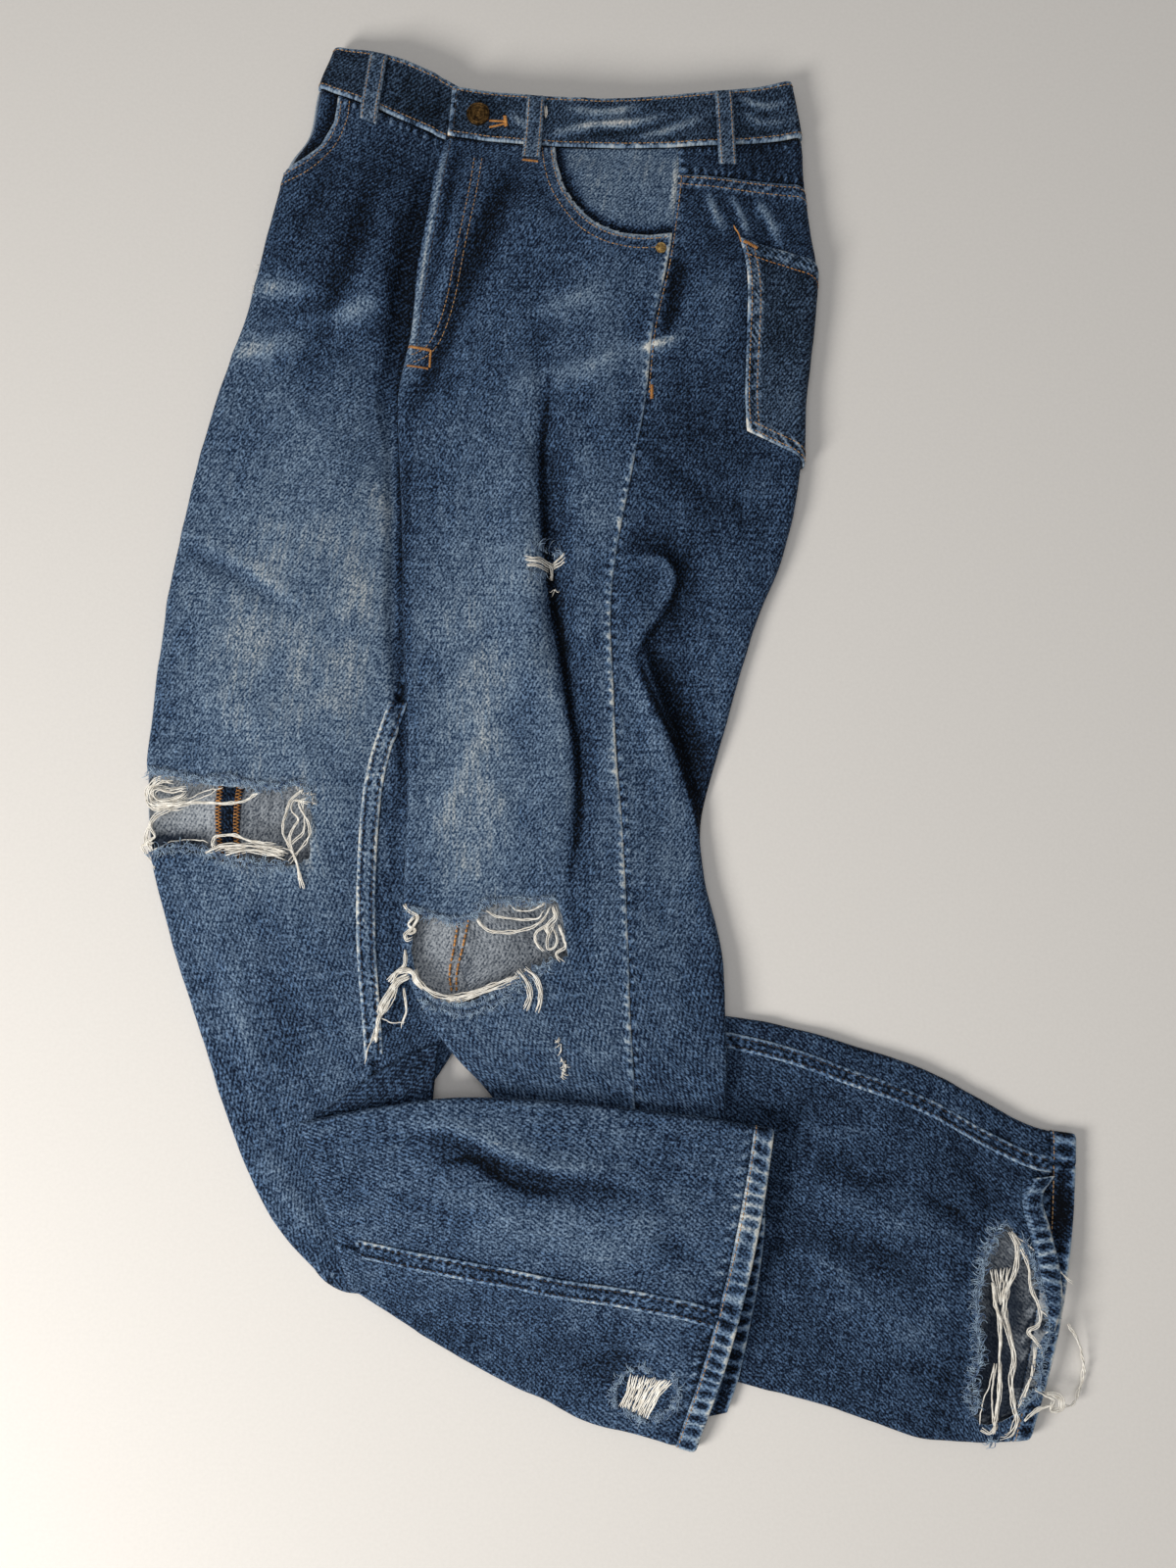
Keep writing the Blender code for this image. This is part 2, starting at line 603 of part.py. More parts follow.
def left_leg_pieces():
    def front(v):
        seam = plan_distance(LEFT, v, value_at(LEFT_SIDE_SEAM_X, v)) - SEAM / 2
        edge = LEFT.section(v)[4]
        return (
            LEFT.under_left(v, TURNED),
            -math.pi * edge / 2,
            math.pi * edge / 2,
            LEFT.top_turn(v, seam),
        )

    rows = [1.02, 1.5, 2, 2.5, 3, 3.5, 4, 5, 6, 7, 8, 9, 10, 11, 12, 13, 14, 15, 16, 17, 17.9]
    panel = cloth("front_left", LEFT, rows, front, (2, 4, 8))
    cut(panel, LEFT_KNEE_RIP, 10.5, 60)
    cut(panel, LEFT_POCKET_MOUTH, 4, 60)

    def facing(v):
        seam = plan_distance(LEFT, v, value_at(LEFT_SIDE_SEAM_X, v)) - SEAM
        inner = plan_distance(LEFT, v, -52)
        return LEFT.top_turn(v, inner), LEFT.top_turn(v, seam)

    rows = [1.02, 1.6, 2.2, 2.8, 3.4, 3.9]
    cloth("pocket_facing_left", LEFT, rows, facing, (6,), shift=-CLOTH - SEAM - 0.3)

    def back(v):
        seam = plan_distance(LEFT, v, value_at(LEFT_SIDE_SEAM_X, v)) + SEAM / 2
        half = LEFT.half_turn(v)
        edge = LEFT.section(v)[5]
        return (
            LEFT.top_turn(v, seam),
            half - math.pi * edge / 2,
            half + math.pi * edge / 2,
            left_under_turn(v),
        )

    def yoke_line(c):
        side, outline, centre = YOKE_DROP
        if c < 0.5:
            return 1 + side + (outline - side) * c / 0.5
        return 1 + outline + (centre - outline) * (c - 0.5) / 0.5

    rows = [lambda c: yoke_line(c) + SEAM / 40, lambda c: (yoke_line(c) + 3.3) / 2]
    rows += [3.3, 4, 5, 6, 7, 8, 9, 10, 11, 12, 13, 14, 15, 16, 17, 17.9]
    cloth("back_left", LEFT, rows, back, (4, 4, 5))

    rows = [1.02]
    for share in (0.33, 0.67, 1.0):
        rows.append(lambda c, share=share: 1.02 + (yoke_line(c) - 1.02) * share)
    cloth("yoke_left", LEFT, rows, back, (4, 4, 5))

    def pocket(v):
        down = (v - POCKET_TOP[0]) / (POCKET_BOTTOM[0] - POCKET_TOP[0])
        _, _, _, width, _, edge = LEFT.section(v)
        half = LEFT.half_turn(v)
        inset = POCKET_LEFT[0] + (POCKET_LEFT[1] - POCKET_LEFT[0]) * down
        return (
            LEFT.top_turn(v, width - inset),
            half - math.pi * edge / 2,
            half + math.pi * edge / 2,
            LEFT.under_right(v, POCKET_UNDER),
        )

    def pocket_row(share):
        def row(c):
            slant = min(1.0, 2 * c)
            top = POCKET_TOP[0] + (POCKET_TOP[1] - POCKET_TOP[0]) * slant
            bottom = POCKET_BOTTOM[0] + (POCKET_BOTTOM[1] - POCKET_BOTTOM[0]) * slant
            return top + (bottom - top) * share
        return row

    rows = [pocket_row(share) for share in (0, 0.25, 0.5, 0.75, 1)]
    raised = CLOTH / 2 + POCKET_LIFT + 0.6
    cloth("back_pocket_left", LEFT, rows, pocket, (2, 4, 2), shift=raised)


def waistband_pieces():
    rows = [0, 0.5, 0.98]

    def right_part(v):
        edge = RIGHT.section(v)[4]
        _, _, _, width, _, er = RIGHT.section(v)
        return (
            RIGHT.under_left(v, 30),
            -math.pi * edge / 2,
            math.pi * edge / 2,
            RIGHT.top_turn(v, width - er),
        )

    cloth("waistband_right", RIGHT, rows, right_part, (1, 4, 5), thickness=DOUBLE)

    def left_part(v):
        half = LEFT.half_turn(v)
        el, er = LEFT.section(v)[4:6]
        return (
            LEFT.top_turn(v, el),
            half - math.pi * er / 2,
            half + math.pi * er / 2,
            LEFT.under_right(v, 34),
        )

    cloth("waistband_left", LEFT, rows, left_part, (9, 4, 1), thickness=DOUBLE)

    grid = []
    for v in rows:
        under = [seat_point(v, i / 6) for i in range(7)]
        start, stop = left_under_turn(v), LEFT.under_right(v, 34 + SEAM)
        under += [LEFT.point(start + (stop - start) * i / 3, v) for i in (1, 2, 3)]
        grid.append(under)
    floor_grid("waistband_back", grid, DOUBLE)


def on_top(leg, x, v, out):
    """A point and its way out, this far above the middle of the upper layer."""
    turn = leg.top_turn(v, plan_distance(leg, v, x))
    way = leg.normal(turn, v)
    return leg.point(turn, v) + way * out, way


def belt_loops():
    out = DOUBLE / 2 + SEAM + FELL / 2
    for name, (foot_x, foot_v, head_x, head_v) in LOOPS.items():
        leg = RIGHT if name == "belt_loop_right" else LEFT
        grid = []
        normals = []
        for i in range(8):
            t = i / 7
            arch = LOOP_ARCH * (1 - (2 * t - 1) ** 4)
            v = foot_v + (head_v - foot_v) * t
            x = foot_x + (head_x - foot_x) * t
            row = [on_top(leg, x + aside, v, out + arch) for aside in (-LOOP_WIDTH / 2, 0, LOOP_WIDTH / 2)]
            grid.append([point for point, way in row])
            normals.append([way for point, way in row])
        wall(name, np.array(grid), np.array(normals), FELL)


def studs():
    foot, _ = on_top(LEFT, *BUTTON_AT, DOUBLE / 2 + STUD_GAP)
    disc("button", foot, BUTTON_RADIUS, BUTTON_HEIGHT, 0.8)
    foot, _ = on_top(LEFT, *RIVET_AT, CLOTH / 2 + STUD_GAP)
    disc("rivet", foot, RIVET_RADIUS, RIVET_HEIGHT, 0.4, sides=12)


def calf_pieces():
    def above(v):
        edge = CALF_R.section(v)[4]
        return (
            CALF_R.under_left(v, RIGHT_CALF_OUTSEAM - SEAM / 2),
            -math.pi * edge / 2,
            math.pi * edge / 2,
            CALF_R.top_turn(v, value_at(RIGHT_CALF_INSEAM, v) - SEAM / 2),
        )

    def below(v):
        _, _, _, width, _, edge = CALF_R.section(v)
        half = CALF_R.half_turn(v)
        return (
            CALF_R.top_turn(v, value_at(RIGHT_CALF_INSEAM, v) + SEAM / 2),
            half - math.pi * edge / 2,
            half + math.pi * edge / 2,
            CALF_R.under_right(v, width - RIGHT_CALF_OUTSEAM - SEAM / 2),
        )

    rows = [0.02, 0.06, 0.12, 0.5, 1, 1.5, 2, 3, 4, 5, 6, 7.05]
    cloth("back_right_calf", CALF_R, rows, above, (2, 4, 5))
    cloth("front_right_calf", CALF_R, rows, below, (4, 4, 4))
    rows = [7.1, 7.55, 8]
    cloth("hem_right_back", CALF_R, rows, above, (2, 4, 5), thickness=DOUBLE)
    cloth("hem_right_front", CALF_R, rows, below, (4, 4, 4), thickness=DOUBLE)

    def fell(v):
        centre = value_at(RIGHT_CALF_INSEAM, v)
        return (
            CALF_R.top_turn(v, centre - FELL_WIDTH / 2),
            CALF_R.top_turn(v, centre + FELL_WIDTH / 2),
        )

    raised = CLOTH / 2 + LIFT + 0.5
    rows = [0.5, 1, 1.5, 2, 3, 4, 5, 6, 7.05]
    cloth("inseam_right_calf", CALF_R, rows, fell, (2,), thickness=1.0, shift=raised)

    def strip(v):
        edge = CALF_L.section(v)[4]
        _, _, _, width, _, _ = CALF_L.section(v)
        return (
            CALF_L.under_left(v, width - LEFT_CALF_OUTSEAM - SEAM / 2),
            -math.pi * edge / 2,
            math.pi * edge / 2,
            CALF_L.top_turn(v, value_at(LEFT_CALF_INSEAM, v) - SEAM / 2),
        )

    def broad(v):
        _, _, _, _, _, edge = CALF_L.section(v)
        half = CALF_L.half_turn(v)
        return (
            CALF_L.top_turn(v, value_at(LEFT_CALF_INSEAM, v) + SEAM / 2),
            half - math.pi * edge / 2,
            half + math.pi * edge / 2,
            CALF_L.under_right(v, LEFT_CALF_OUTSEAM - SEAM / 2),
        )

    rows = [0, 1, 2, 3, 4, 5, 6, 7, 7.43]
    cloth("front_left_calf", CALF_L, rows, strip, (4, 4, 2))
    panel = cloth("back_left_calf", CALF_L, rows, broad, (8, 4, 1))
    cut(panel, LEFT_HEM_RIP, 4.5, 60)
    rows = [7.45, 7.7, 8]
    cloth("hem_left_front", CALF_L, rows, strip, (4, 4, 2), thickness=DOUBLE)
    panel = cloth("hem_left_back", CALF_L, rows, broad, (8, 4, 1), thickness=DOUBLE)
    cut(panel, LEFT_HEM_RIP, 4.5, 60)

    def fell_left(v):
        centre = value_at(LEFT_CALF_INSEAM, v)
        return (
            CALF_L.top_turn(v, centre - FELL_WIDTH / 2 + 1),
            CALF_L.top_turn(v, centre + FELL_WIDTH / 2 - 1),
        )

    rows = [1, 2, 3, 4, 5, 6, 7, 7.43]
    cloth("inseam_left_calf", CALF_L, rows, fell_left, (2,), thickness=1.0, shift=raised)

    def flap(v):
        edge = FLAP.section(v)[4]
        width = FLAP.section(v)[3]
        return (
            FLAP.under_left(v, width - 4),
            -math.pi * edge / 2,
            math.pi * edge / 2,
            FLAP.top_turn(v, width - 4),
        )

    cloth("bend_flap_right", FLAP, [0.1, 0.7, 1.4, 2.1, 2.8, 3.5, 3.9], flap, (2, 4, 2))


def hidden_layers():
    """The layers folded away below the right calf, as one rounded solid."""
    across_steps = (0.3, 0.4, 0.5, 0.6, 0.7, 0.78)
    rows = (1.3, 1.6, 2, 3, 4, 5, 5.45)
    top = []
    for v in rows:
        row, left, right, width, _, _ = CALF_R.section(v)
        line = []
        for f in across_steps:
            x, y = left + (right - left) * f
            ease = 1.5 if f in (across_steps[0], across_steps[-1]) or v in (rows[0], rows[-1]) else 0.0
            z = CALF_R.base_height(row, f, x, y, v) - CLOTH / 2 - 0.7 - ease
            line.append((x, y, z))
        top.append(line)
    top = np.array(top)
    bottom = top.copy()
    bottom[..., 2] = 0.0
    grid = (top + bottom) / 2
    normals = (top - bottom) / 2
    wall("hidden_layers", grid, normals, 2.0)


PALETTE = {
    "denim_dark": ((0.021, 0.034, 0.057), 0.86),
    "denim_mid": ((0.045, 0.08, 0.13), 0.86),
    "denim_faded": ((0.13, 0.17, 0.22), 0.88),
    "denim_inside": ((0.2, 0.23, 0.25), 0.9),
    "brass": ((0.45, 0.3, 0.14), 0.35),
}
FINISH = {
    "front_right": "denim_faded", "front_left": "denim_faded", "back_left": "denim_mid",
    "pocket_facing_left": "denim_faded", "pocket_facing_right": "denim_mid",
    "back_right": "denim_mid", "back_right_turn": "denim_mid", "yoke_left": "denim_dark",
    "waistband_back": "denim_dark", "hidden_layers": "denim_inside",
    "button": "brass", "rivet": "brass",
}


def paint():
    made = {}
    for name, (colour, roughness) in PALETTE.items():
        material = bpy.data.materials.new(name)
        material.use_nodes = True
        shader = material.node_tree.nodes["Principled BSDF"]
        shader.inputs["Base Color"].default_value = (*colour, 1.0)
        shader.inputs["Roughness"].default_value = roughness
        shader.inputs["Metallic"].default_value = 1.0 if name == "brass" else 0.0
        made[name] = material
    for thing in bpy.context.scene.objects:
        if not thing.hide_render:
            thing.data.materials.append(made[FINISH.get(thing.name, "denim_dark")])


clear_scene()
right_leg_pieces()
left_leg_pieces()
waistband_pieces()
belt_loops()
calf_pieces()
hidden_layers()
studs()
paint()
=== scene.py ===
# %% [markdown]
# # Ripped jeans, lying folded on a pale table
# The jeans lie front up. Both calves are folded over to the right of the layout, so the waist is at
# the top and the hems are at the lower right. Cloth can be made by simulation, by sculpting or from
# a formula. Here each leg is a formula: a flattened tube with a table of sections, and every panel,
# band and pocket is a stretch of that tube. Neighbours then share one surface and always meet.

# %% Load the solids
import math

import bpy
import numpy as np
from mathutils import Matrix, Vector
from mathutils.bvhtree import BVHTree
from mathutils.kdtree import KDTree


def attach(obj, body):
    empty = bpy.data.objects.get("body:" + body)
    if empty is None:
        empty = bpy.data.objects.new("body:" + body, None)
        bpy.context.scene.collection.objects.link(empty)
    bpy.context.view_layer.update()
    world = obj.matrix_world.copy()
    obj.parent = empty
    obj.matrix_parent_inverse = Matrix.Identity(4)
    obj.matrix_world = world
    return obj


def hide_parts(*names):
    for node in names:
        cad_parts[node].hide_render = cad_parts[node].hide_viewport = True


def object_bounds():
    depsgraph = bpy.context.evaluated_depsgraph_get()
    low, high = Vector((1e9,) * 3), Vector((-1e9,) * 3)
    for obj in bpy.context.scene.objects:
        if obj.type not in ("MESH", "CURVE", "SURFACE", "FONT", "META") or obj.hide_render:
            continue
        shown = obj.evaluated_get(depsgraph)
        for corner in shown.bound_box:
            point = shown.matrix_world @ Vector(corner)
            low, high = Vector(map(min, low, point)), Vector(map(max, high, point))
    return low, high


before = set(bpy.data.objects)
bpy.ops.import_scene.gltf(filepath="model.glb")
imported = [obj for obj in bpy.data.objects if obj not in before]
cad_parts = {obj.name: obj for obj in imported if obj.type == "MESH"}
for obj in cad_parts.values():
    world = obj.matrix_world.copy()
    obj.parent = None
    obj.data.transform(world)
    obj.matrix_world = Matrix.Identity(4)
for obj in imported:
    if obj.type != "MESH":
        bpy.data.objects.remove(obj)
cad_low, cad_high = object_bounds()
print("solids:", len(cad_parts), "box in mm:", [round(1000 * x) for x in cad_high - cad_low])

# %% [markdown]
# ## Table, light and camera
# A matt board takes soft shadows. One wide lamp stands low at the left, towards the hems, so the
# shadows fall to the right and above the waist. A second lamp and a pale sky fill them.

# %% Helpers for colours and nodes
MM = 0.001


def rgb(code):
    """An sRGB hex colour as the linear values that a shader takes."""
    channels = [int(code[i:i + 2], 16) / 255 for i in (1, 3, 5)]
    linear = [c / 12.92 if c <= 0.04045 else ((c + 0.055) / 1.055) ** 2.4 for c in channels]
    return (*linear, 1.0)


def add(tree, kind, inputs=None, **settings):
    """Adds a node. An input is a value, or a socket to link from."""
    node = tree.nodes.new(kind)
    for name, value in settings.items():
        setattr(node, name, value)
    for name, value in (inputs or {}).items():
        if isinstance(value, bpy.types.NodeSocket):
            tree.links.new(value, node.inputs[name])
        else:
            node.inputs[name].default_value = value
    return node


def new_material(name, **shader):
    """A material with a Principled shader, its tree and the shader itself."""
    material = bpy.data.materials.new(name)
    material.use_nodes = True
    principled = material.node_tree.nodes["Principled BSDF"]
    for socket, value in shader.items():
        principled.inputs[socket.replace("_", " ")].default_value = value
    return material, material.node_tree, principled


def mottle(tree, principled, per_metre, dark, light, low=0.0, high=1.0, detail=2.0):
    """Patches of two colours, this many to the metre, through the whole piece. Returns the noise."""
    place = add(tree, "ShaderNodeTexCoord").outputs["Object"]
    patches = add(tree, "ShaderNodeTexNoise", {"Vector": place, "Scale": per_metre, "Detail": detail})
    spread = add(tree, "ShaderNodeMapRange", {
        "Value": patches.outputs["Fac"], "From Min": low, "From Max": high})
    tint = add(tree, "ShaderNodeMix", {
        "Factor": spread.outputs["Result"], "A": rgb(dark), "B": rgb(light)}, data_type="RGBA")
    tree.links.new(tint.outputs["Result"], principled.inputs["Base Color"])
    return patches.outputs["Fac"]


# %% The board
# Primer dries matt, with a grain about 2.4 mm wide that hardly shows.
board, tree, principled = new_material("primed_board", Roughness=0.75, Specular_IOR_Level=0.3)
grain = mottle(tree, principled, 420.0, "#dfdcd7", "#e7e4df")
bump = add(tree, "ShaderNodeBump", {"Height": grain, "Strength": 0.25, "Distance": 0.0002})
tree.links.new(bump.outputs["Normal"], principled.inputs["Normal"])

bpy.ops.object.select_all(action="DESELECT")
bpy.ops.mesh.primitive_plane_add(size=6.0, location=(0, 0, cad_low.z - 0.0002))
floor = bpy.context.object
floor.name = "table_board"
bpy.ops.object.transform_apply()
floor.data.materials.append(board)
print("board made,", floor.dimensions.x, "m wide")

# %% Lamps and camera
scene = bpy.context.scene
scene.view_settings.view_transform = "Standard"


def lamp(name, place, aim, size, watts, colour):
    """A round soft lamp at a place, turned to an aim."""
    light = bpy.data.lights.new(name, "AREA")
    light.shape = "DISK"
    light.size = size
    light.energy = watts
    light.color = rgb(colour)[:3]
    thing = bpy.data.objects.new(name, light)
    scene.collection.objects.link(thing)
    thing.location = place
    thing.rotation_euler = (thing.location - Vector(aim)).to_track_quat("Z", "Y").to_euler()


lamp("window", (-1.4, -1.1, 1.1), (-0.1, -0.1, 0), 0.8, 38.0, "#fffbf6")
lamp("ceiling", (0.0, 0.1, 2.2), (0, 0, 0), 1.8, 12.0, "#fafaff")
world = bpy.data.worlds.new("room")
scene.world = world
world.use_nodes = True
sky = world.node_tree.nodes["Background"]
sky.inputs["Color"].default_value = rgb("#f2f1ee")
sky.inputs["Strength"].default_value = 0.24

TILT = math.radians(5)  # the camera stands a little towards the hems
AIM = (-0.0135, -0.0445)
HEIGHT = 0.9962
camera = bpy.data.cameras.new("camera")
camera.lens = 32.6
camera.sensor_width = 36.0
eye = bpy.data.objects.new("camera", camera)
scene.collection.objects.link(eye)
eye.location = (AIM[0], AIM[1] - HEIGHT * math.tan(TILT), HEIGHT)
eye.rotation_euler = (TILT, 0, 0)
scene.camera = eye
print("lamps:", len(bpy.data.lights), "camera at", [round(x, 3) for x in eye.location])

# %% [markdown]
# ## The lay: one table for each leg
# A row is a section across a flattened leg: the outline's left and right points, how far the
# section bows, five heights of its upper layer, and three of the layer below. All is in
# millimetres. The rows run from the waist to the hem.

# %% Tables
CLOTH = 1.2  # one layer of denim
DOUBLE = 2.4  # waistband and hems
FELL = 1.4  # a belt loop, folded in three and pressed
SEAM = 0.3  # the gap between two pieces that meet
TURNED = 38.0  # how much of the left front is turned under at the fly
FELL_WIDTH = 12.5  # the band of a double-stitched seam
TUCK = 8.0  # the right leg is pressed down to this far outside the left leg
LIFT = 0.4  # the gap below a piece that lies on another
POCKET_LIFT = 0.7  # the gap below the back pocket

# The columns of every table of a leg.
LEFT_X, LEFT_Y, RIGHT_X, RIGHT_Y, BOW = range(5)
ABOVE = slice(5, 10)
ABOVE_LEFT, ABOVE_RIGHT = 5, 9
BELOW_LEFT, BELOW_MIDDLE, BELOW_RIGHT = 10, 11, 12



def level(rows):
    """A table whose rows list one height of the under layer, the same right across."""
    return np.array([(*row, row[-1], row[-1]) for row in rows], float)


RIGHT_LEG = level([
    (-198, 493, -96, 452, 6, 13, 17, 19, 19.5, 18.5, 1.3),
    (-209, 462, -92, 408, 0, 15, 19, 20.5, 20, 19.0, 1.3),
    (-215, 428, -94, 372, 0, 16, 22, 24, 23, 20.5, 0.6),
    (-230, 404, -98, 338, 0, 16, 22, 24, 22, 19.5, 0.6),
    (-242, 362, -106, 298, 0, 15, 20, 22, 19, 16.0, 0.6),
    (-259, 292, -112, 240, 0, 13, 17, 19, 14, 9.0, 0.6),
    (-277, 236, -112, 196, 0, 12, 15, 16, 9, 5.5, 0.6),
    (-291, 186, -90, 160, 0, 11, 14, 14, 6.5, 5, 0.6),
    (-304, 123, -60, 110, 0, 10, 13, 12, 5.5, 5, 0.6),
    (-312, 75, -52, 62, 0, 10, 13, 12, 5.5, 5, 0.6),
    (-318, 17, -62, 10, 0, 9.5, 13, 12, 5.5, 5, 0.6),
    (-322, -35, -74, -40, 0, 9.5, 13, 12, 5.5, 5, 0.6),
    (-318, -92, -82, -96, 0, 9.5, 13, 12, 5.5, 5, 0.6),
    (-301, -157, -88, -150, 0, 10, 13, 12, 5.5, 5, 0.6),
    (-284, -206, -92, -188, 0, 9, 10, 8, 5.5, 5, 0.6),
    (-265, -262, -100, -216, 0, 8.5, 8, 6, 5.5, 5, 0.6),
    (-245, -312, -120, -250, 0, 7.5, 6.5, 5.5, 5.5, 5, 0.6),
    (-222, -352, -152, -290, 0, 7, 6, 5.5, 5, 5, 0.6),
    (-184, -391, -158, -340, 0, 5.5, 5, 5, 5, 5, 0.6),
])
RIGHT_OUTSEAM_UNDER = (30, 30, 32, 35, 40, 45, 50, 52, 54, 55, 56, 56, 56, 54, 50, 46, 42, 40, 40)
RIGHT_FRONT_EDGE_X = (
    -96, -92, -94, -98, -106, -112, -113, -106, -113, -128,
    -147, -162, -167, -167, -164, -161, -162, -163, -163,
)
LEFT_LEG = np.array([
    (-112, 457, 134, 467, -15, 23, 25, 24, 22, 13.5, 19.8, 1.4, 3.4),
    (-115, 420, 141, 424, -13, 24, 26.5, 26, 23, 14.5, 21.0, 1.4, 3.4),
    (-121, 396, 142, 392, -6, 25, 30, 29, 25, 16, 22.4, 0.6, 2.8),
    (-128, 359, 147, 350, 0, 24, 31, 31, 26, 16.5, 21.4, 0.6, 2.8),
    (-135, 320, 150, 322, 0, 21, 29, 29, 26, 16.5, 18.4, 0.6, 2.8),
    (-139, 276, 146, 276, 0, 18, 26, 27, 24, 15.5, 13.0, 0.6, 2.8),
    (-148, 228, 140, 226, 0, 16, 23, 25, 21, 14, 8.5, 0.6, 2.8),
    (-146, 170, 137, 176, 0, 15.5, 21, 23, 19, 13, 7.5, 0.6, 2.8),
    (-144, 116, 124, 116, 0, 15, 20, 21, 17, 12, 7.5, 0.6, 0.6),
    (-143, 71, 106, 73, 0, 15, 19, 20, 15, 10, 7.5, 0.6, 0.6),
    (-140, 16, 90, 22, 0, 15, 19, 19, 13, 9, 7.5, 0.6, 0.6),
    (-138, -30, 77, -25, 0, 15, 18, 18, 13, 9, 7.5, 0.6, 0.6),
    (-139, -75, 65, -74, 0, 15, 17, 18, 15, 10, 7.5, 0.6, 0.6),
    (-140, -118, 67, -112, 0, 15, 17, 18, 16, 12, 7.5, 0.6, 0.6),
    (-141, -166, 78, -158, 0, 15, 17, 18, 17, 13, 7.5, 0.6, 0.6),
    (-126, -201, 80, -205, 0, 15, 17, 18, 17, 16, 7.5, 3, 8.5),
    (-109, -227, 81, -240, 0, 15, 17, 18, 18, 18, 7.5, 3, 11.5),
    (-84, -253, 79, -270, 0, 15, 17, 18, 18, 18, 8, 3, 11.5),
    (-62, -282, 78, -296, 0, 15, 17, 18, 18, 18, 8, 3, 11.5),
], float)
LEFT_SIDE_SEAM_X = (52, 51, 51, 47, 42, 32, 27, 17, 6, 2, 4, 6, 10, 12, 14, 15, 17, 18, 19)
LEFT_UNDER_SEAM_X = (
    35, 35, 35, 33, 26, 12, -8, -30, -42, -104.7,
    -101.7, -99.7, -100.7, -101.7, -102.7, -87.7, -70.7, -45.7, -23.7,
)
RIGHT_CALF = np.array([
    (-209, -277, -175, -385, 0, 17.5, 19, 19, 18, 14, 12, 11.3, 8),
    (-165, -268, -139, -410, 0, 21, 23, 22, 17, 11, 15, 11, 2),
    (-109, -260, -105, -431, 0, 26, 28, 25, 18, 10, 20, 12, 0.6),
    (-60, -260, -69, -450, 0, 28, 30, 26, 18, 9, 21.1, 13, 0.6),
    (-10, -264, -42, -462, 0, 28, 30, 27, 18, 9, 21.1, 14, 0.6),
    (36, -269, -16, -475, 0, 28, 30, 27, 18, 9, 21.1, 14, 0.6),
    (75, -274, 20, -484, 3, 28, 29.5, 27, 20, 9, 21.1, 15, 0.6),
    (97, -278, 44, -491, 5, 27, 29, 26, 21, 9, 20.5, 15, 1.3),
    (111, -281, 58, -495, 6, 26, 28, 26, 21, 9.5, 19.5, 15, 1.3),
], float)
RIGHT_CALF_INSEAM = (82, 97, 111, 118, 122, 124, 126, 128, 130)
RIGHT_CALF_OUTSEAM = 70.0
LEFT_CALF = level([
    (58, -204, 46, -438, 0, 7, 8.9, 9.3, 8.4, 5.2, 0.6),
    (106, -210, 93, -452, 0, 7, 9.2, 9.8, 8.7, 5.7, 0.6),
    (137, -217, 122, -459, 0, 7, 9.5, 10, 9, 6, 0.6),
    (167, -226, 150, -467, 0, 7, 9.5, 10.5, 9.5, 6.5, 0.6),
    (199, -236, 180, -477, 0, 7, 9.5, 11, 10, 7, 0.6),
    (229, -248, 208, -486, 0, 7, 9.5, 11, 10.5, 7.5, 0.6),
    (254, -262, 235, -489, 4, 7, 9, 11.5, 11, 8, 0.6),
    (290, -281, 262, -489, 7, 7, 9, 12, 11.5, 8.5, 1.3),
    (320, -287, 283, -487, 7, 7, 9.5, 12.5, 12, 9, 1.3),
])
LEFT_CALF_INSEAM = (13, 17, 19, 21, 22, 23, 24, 22, 20)
LEFT_CALF_OUTSEAM = 34.0
BEND_FLAP = level([
    (-203, -277, -190, -290, 0, 10.2, 10.2, 10.2, 10.2, 10.2, 8),
    (-189, -266, -172, -291, 0, 11, 11, 11, 11, 11, 8),
    (-166, -250, -150, -287, 0, 12, 12, 12, 12, 12, 8),
    (-142, -235, -132, -282, 0, 12.5, 12.5, 12.5, 12.5, 12.5, 8),
    (-114, -223, -120, -274, 0, 12.5, 12.5, 12.5, 12.5, 12.5, 8),
])
YOKE_DROP = (0.95, 1.2, 1.6)  # rows from the band to the yoke seam: at the side, outline and centre
SEAT_SAG = 14.0  # the back of the waist hangs this much lower in its middle
SEAT_ROW = 8.0  # the legs part at this row
OVER_RIGHT = 7.5  # the height of the left leg's under layer where it lies on the right leg
print("sections:", [len(table) for table in (RIGHT_LEG, LEFT_LEG, RIGHT_CALF, LEFT_CALF, BEND_FLAP)])

# %% [markdown]
# ## A leg as a flattened tube
# Any point of a leg has two numbers. The turn is how far round the tube it lies, in millimetres,
# with 0 at the left outline, rising over the top and falling underneath. The row says how far down
# the leg it is. The same two numbers give the place, the way out of the cloth and the weave.

# %% The tube
def smooth(t):
    """An even step from 0 to 1 as t does the same."""
    t = np.clip(t, 0.0, 1.0)
    return t * t * (3 - 2 * t)


def cubic(a, b, c, d, f):
    """The smooth curve from b to c, with a and d as the neighbours that set its slopes."""
    return b + 0.5 * f * (c - a + f * (2 * a - 5 * b + 4 * c - d + f * (3 * (b - c) + d - a)))


def through(values, t):
    """The smooth curve through evenly spaced values, at every t."""
    values = np.asarray(values, float)
    t = np.asarray(t, float)
    padded = np.concatenate((2 * values[:1] - values[1:2], values, 2 * values[-1:] - values[-2:-1]))
    i = np.clip(np.floor(t).astype(int), 0, len(values) - 2)
    f = np.clip(t - i, 0.0, 1.0)
    if values.ndim > 1:
        f = f[..., None]
    return cubic(*(padded[i + k] for k in range(4)), f)


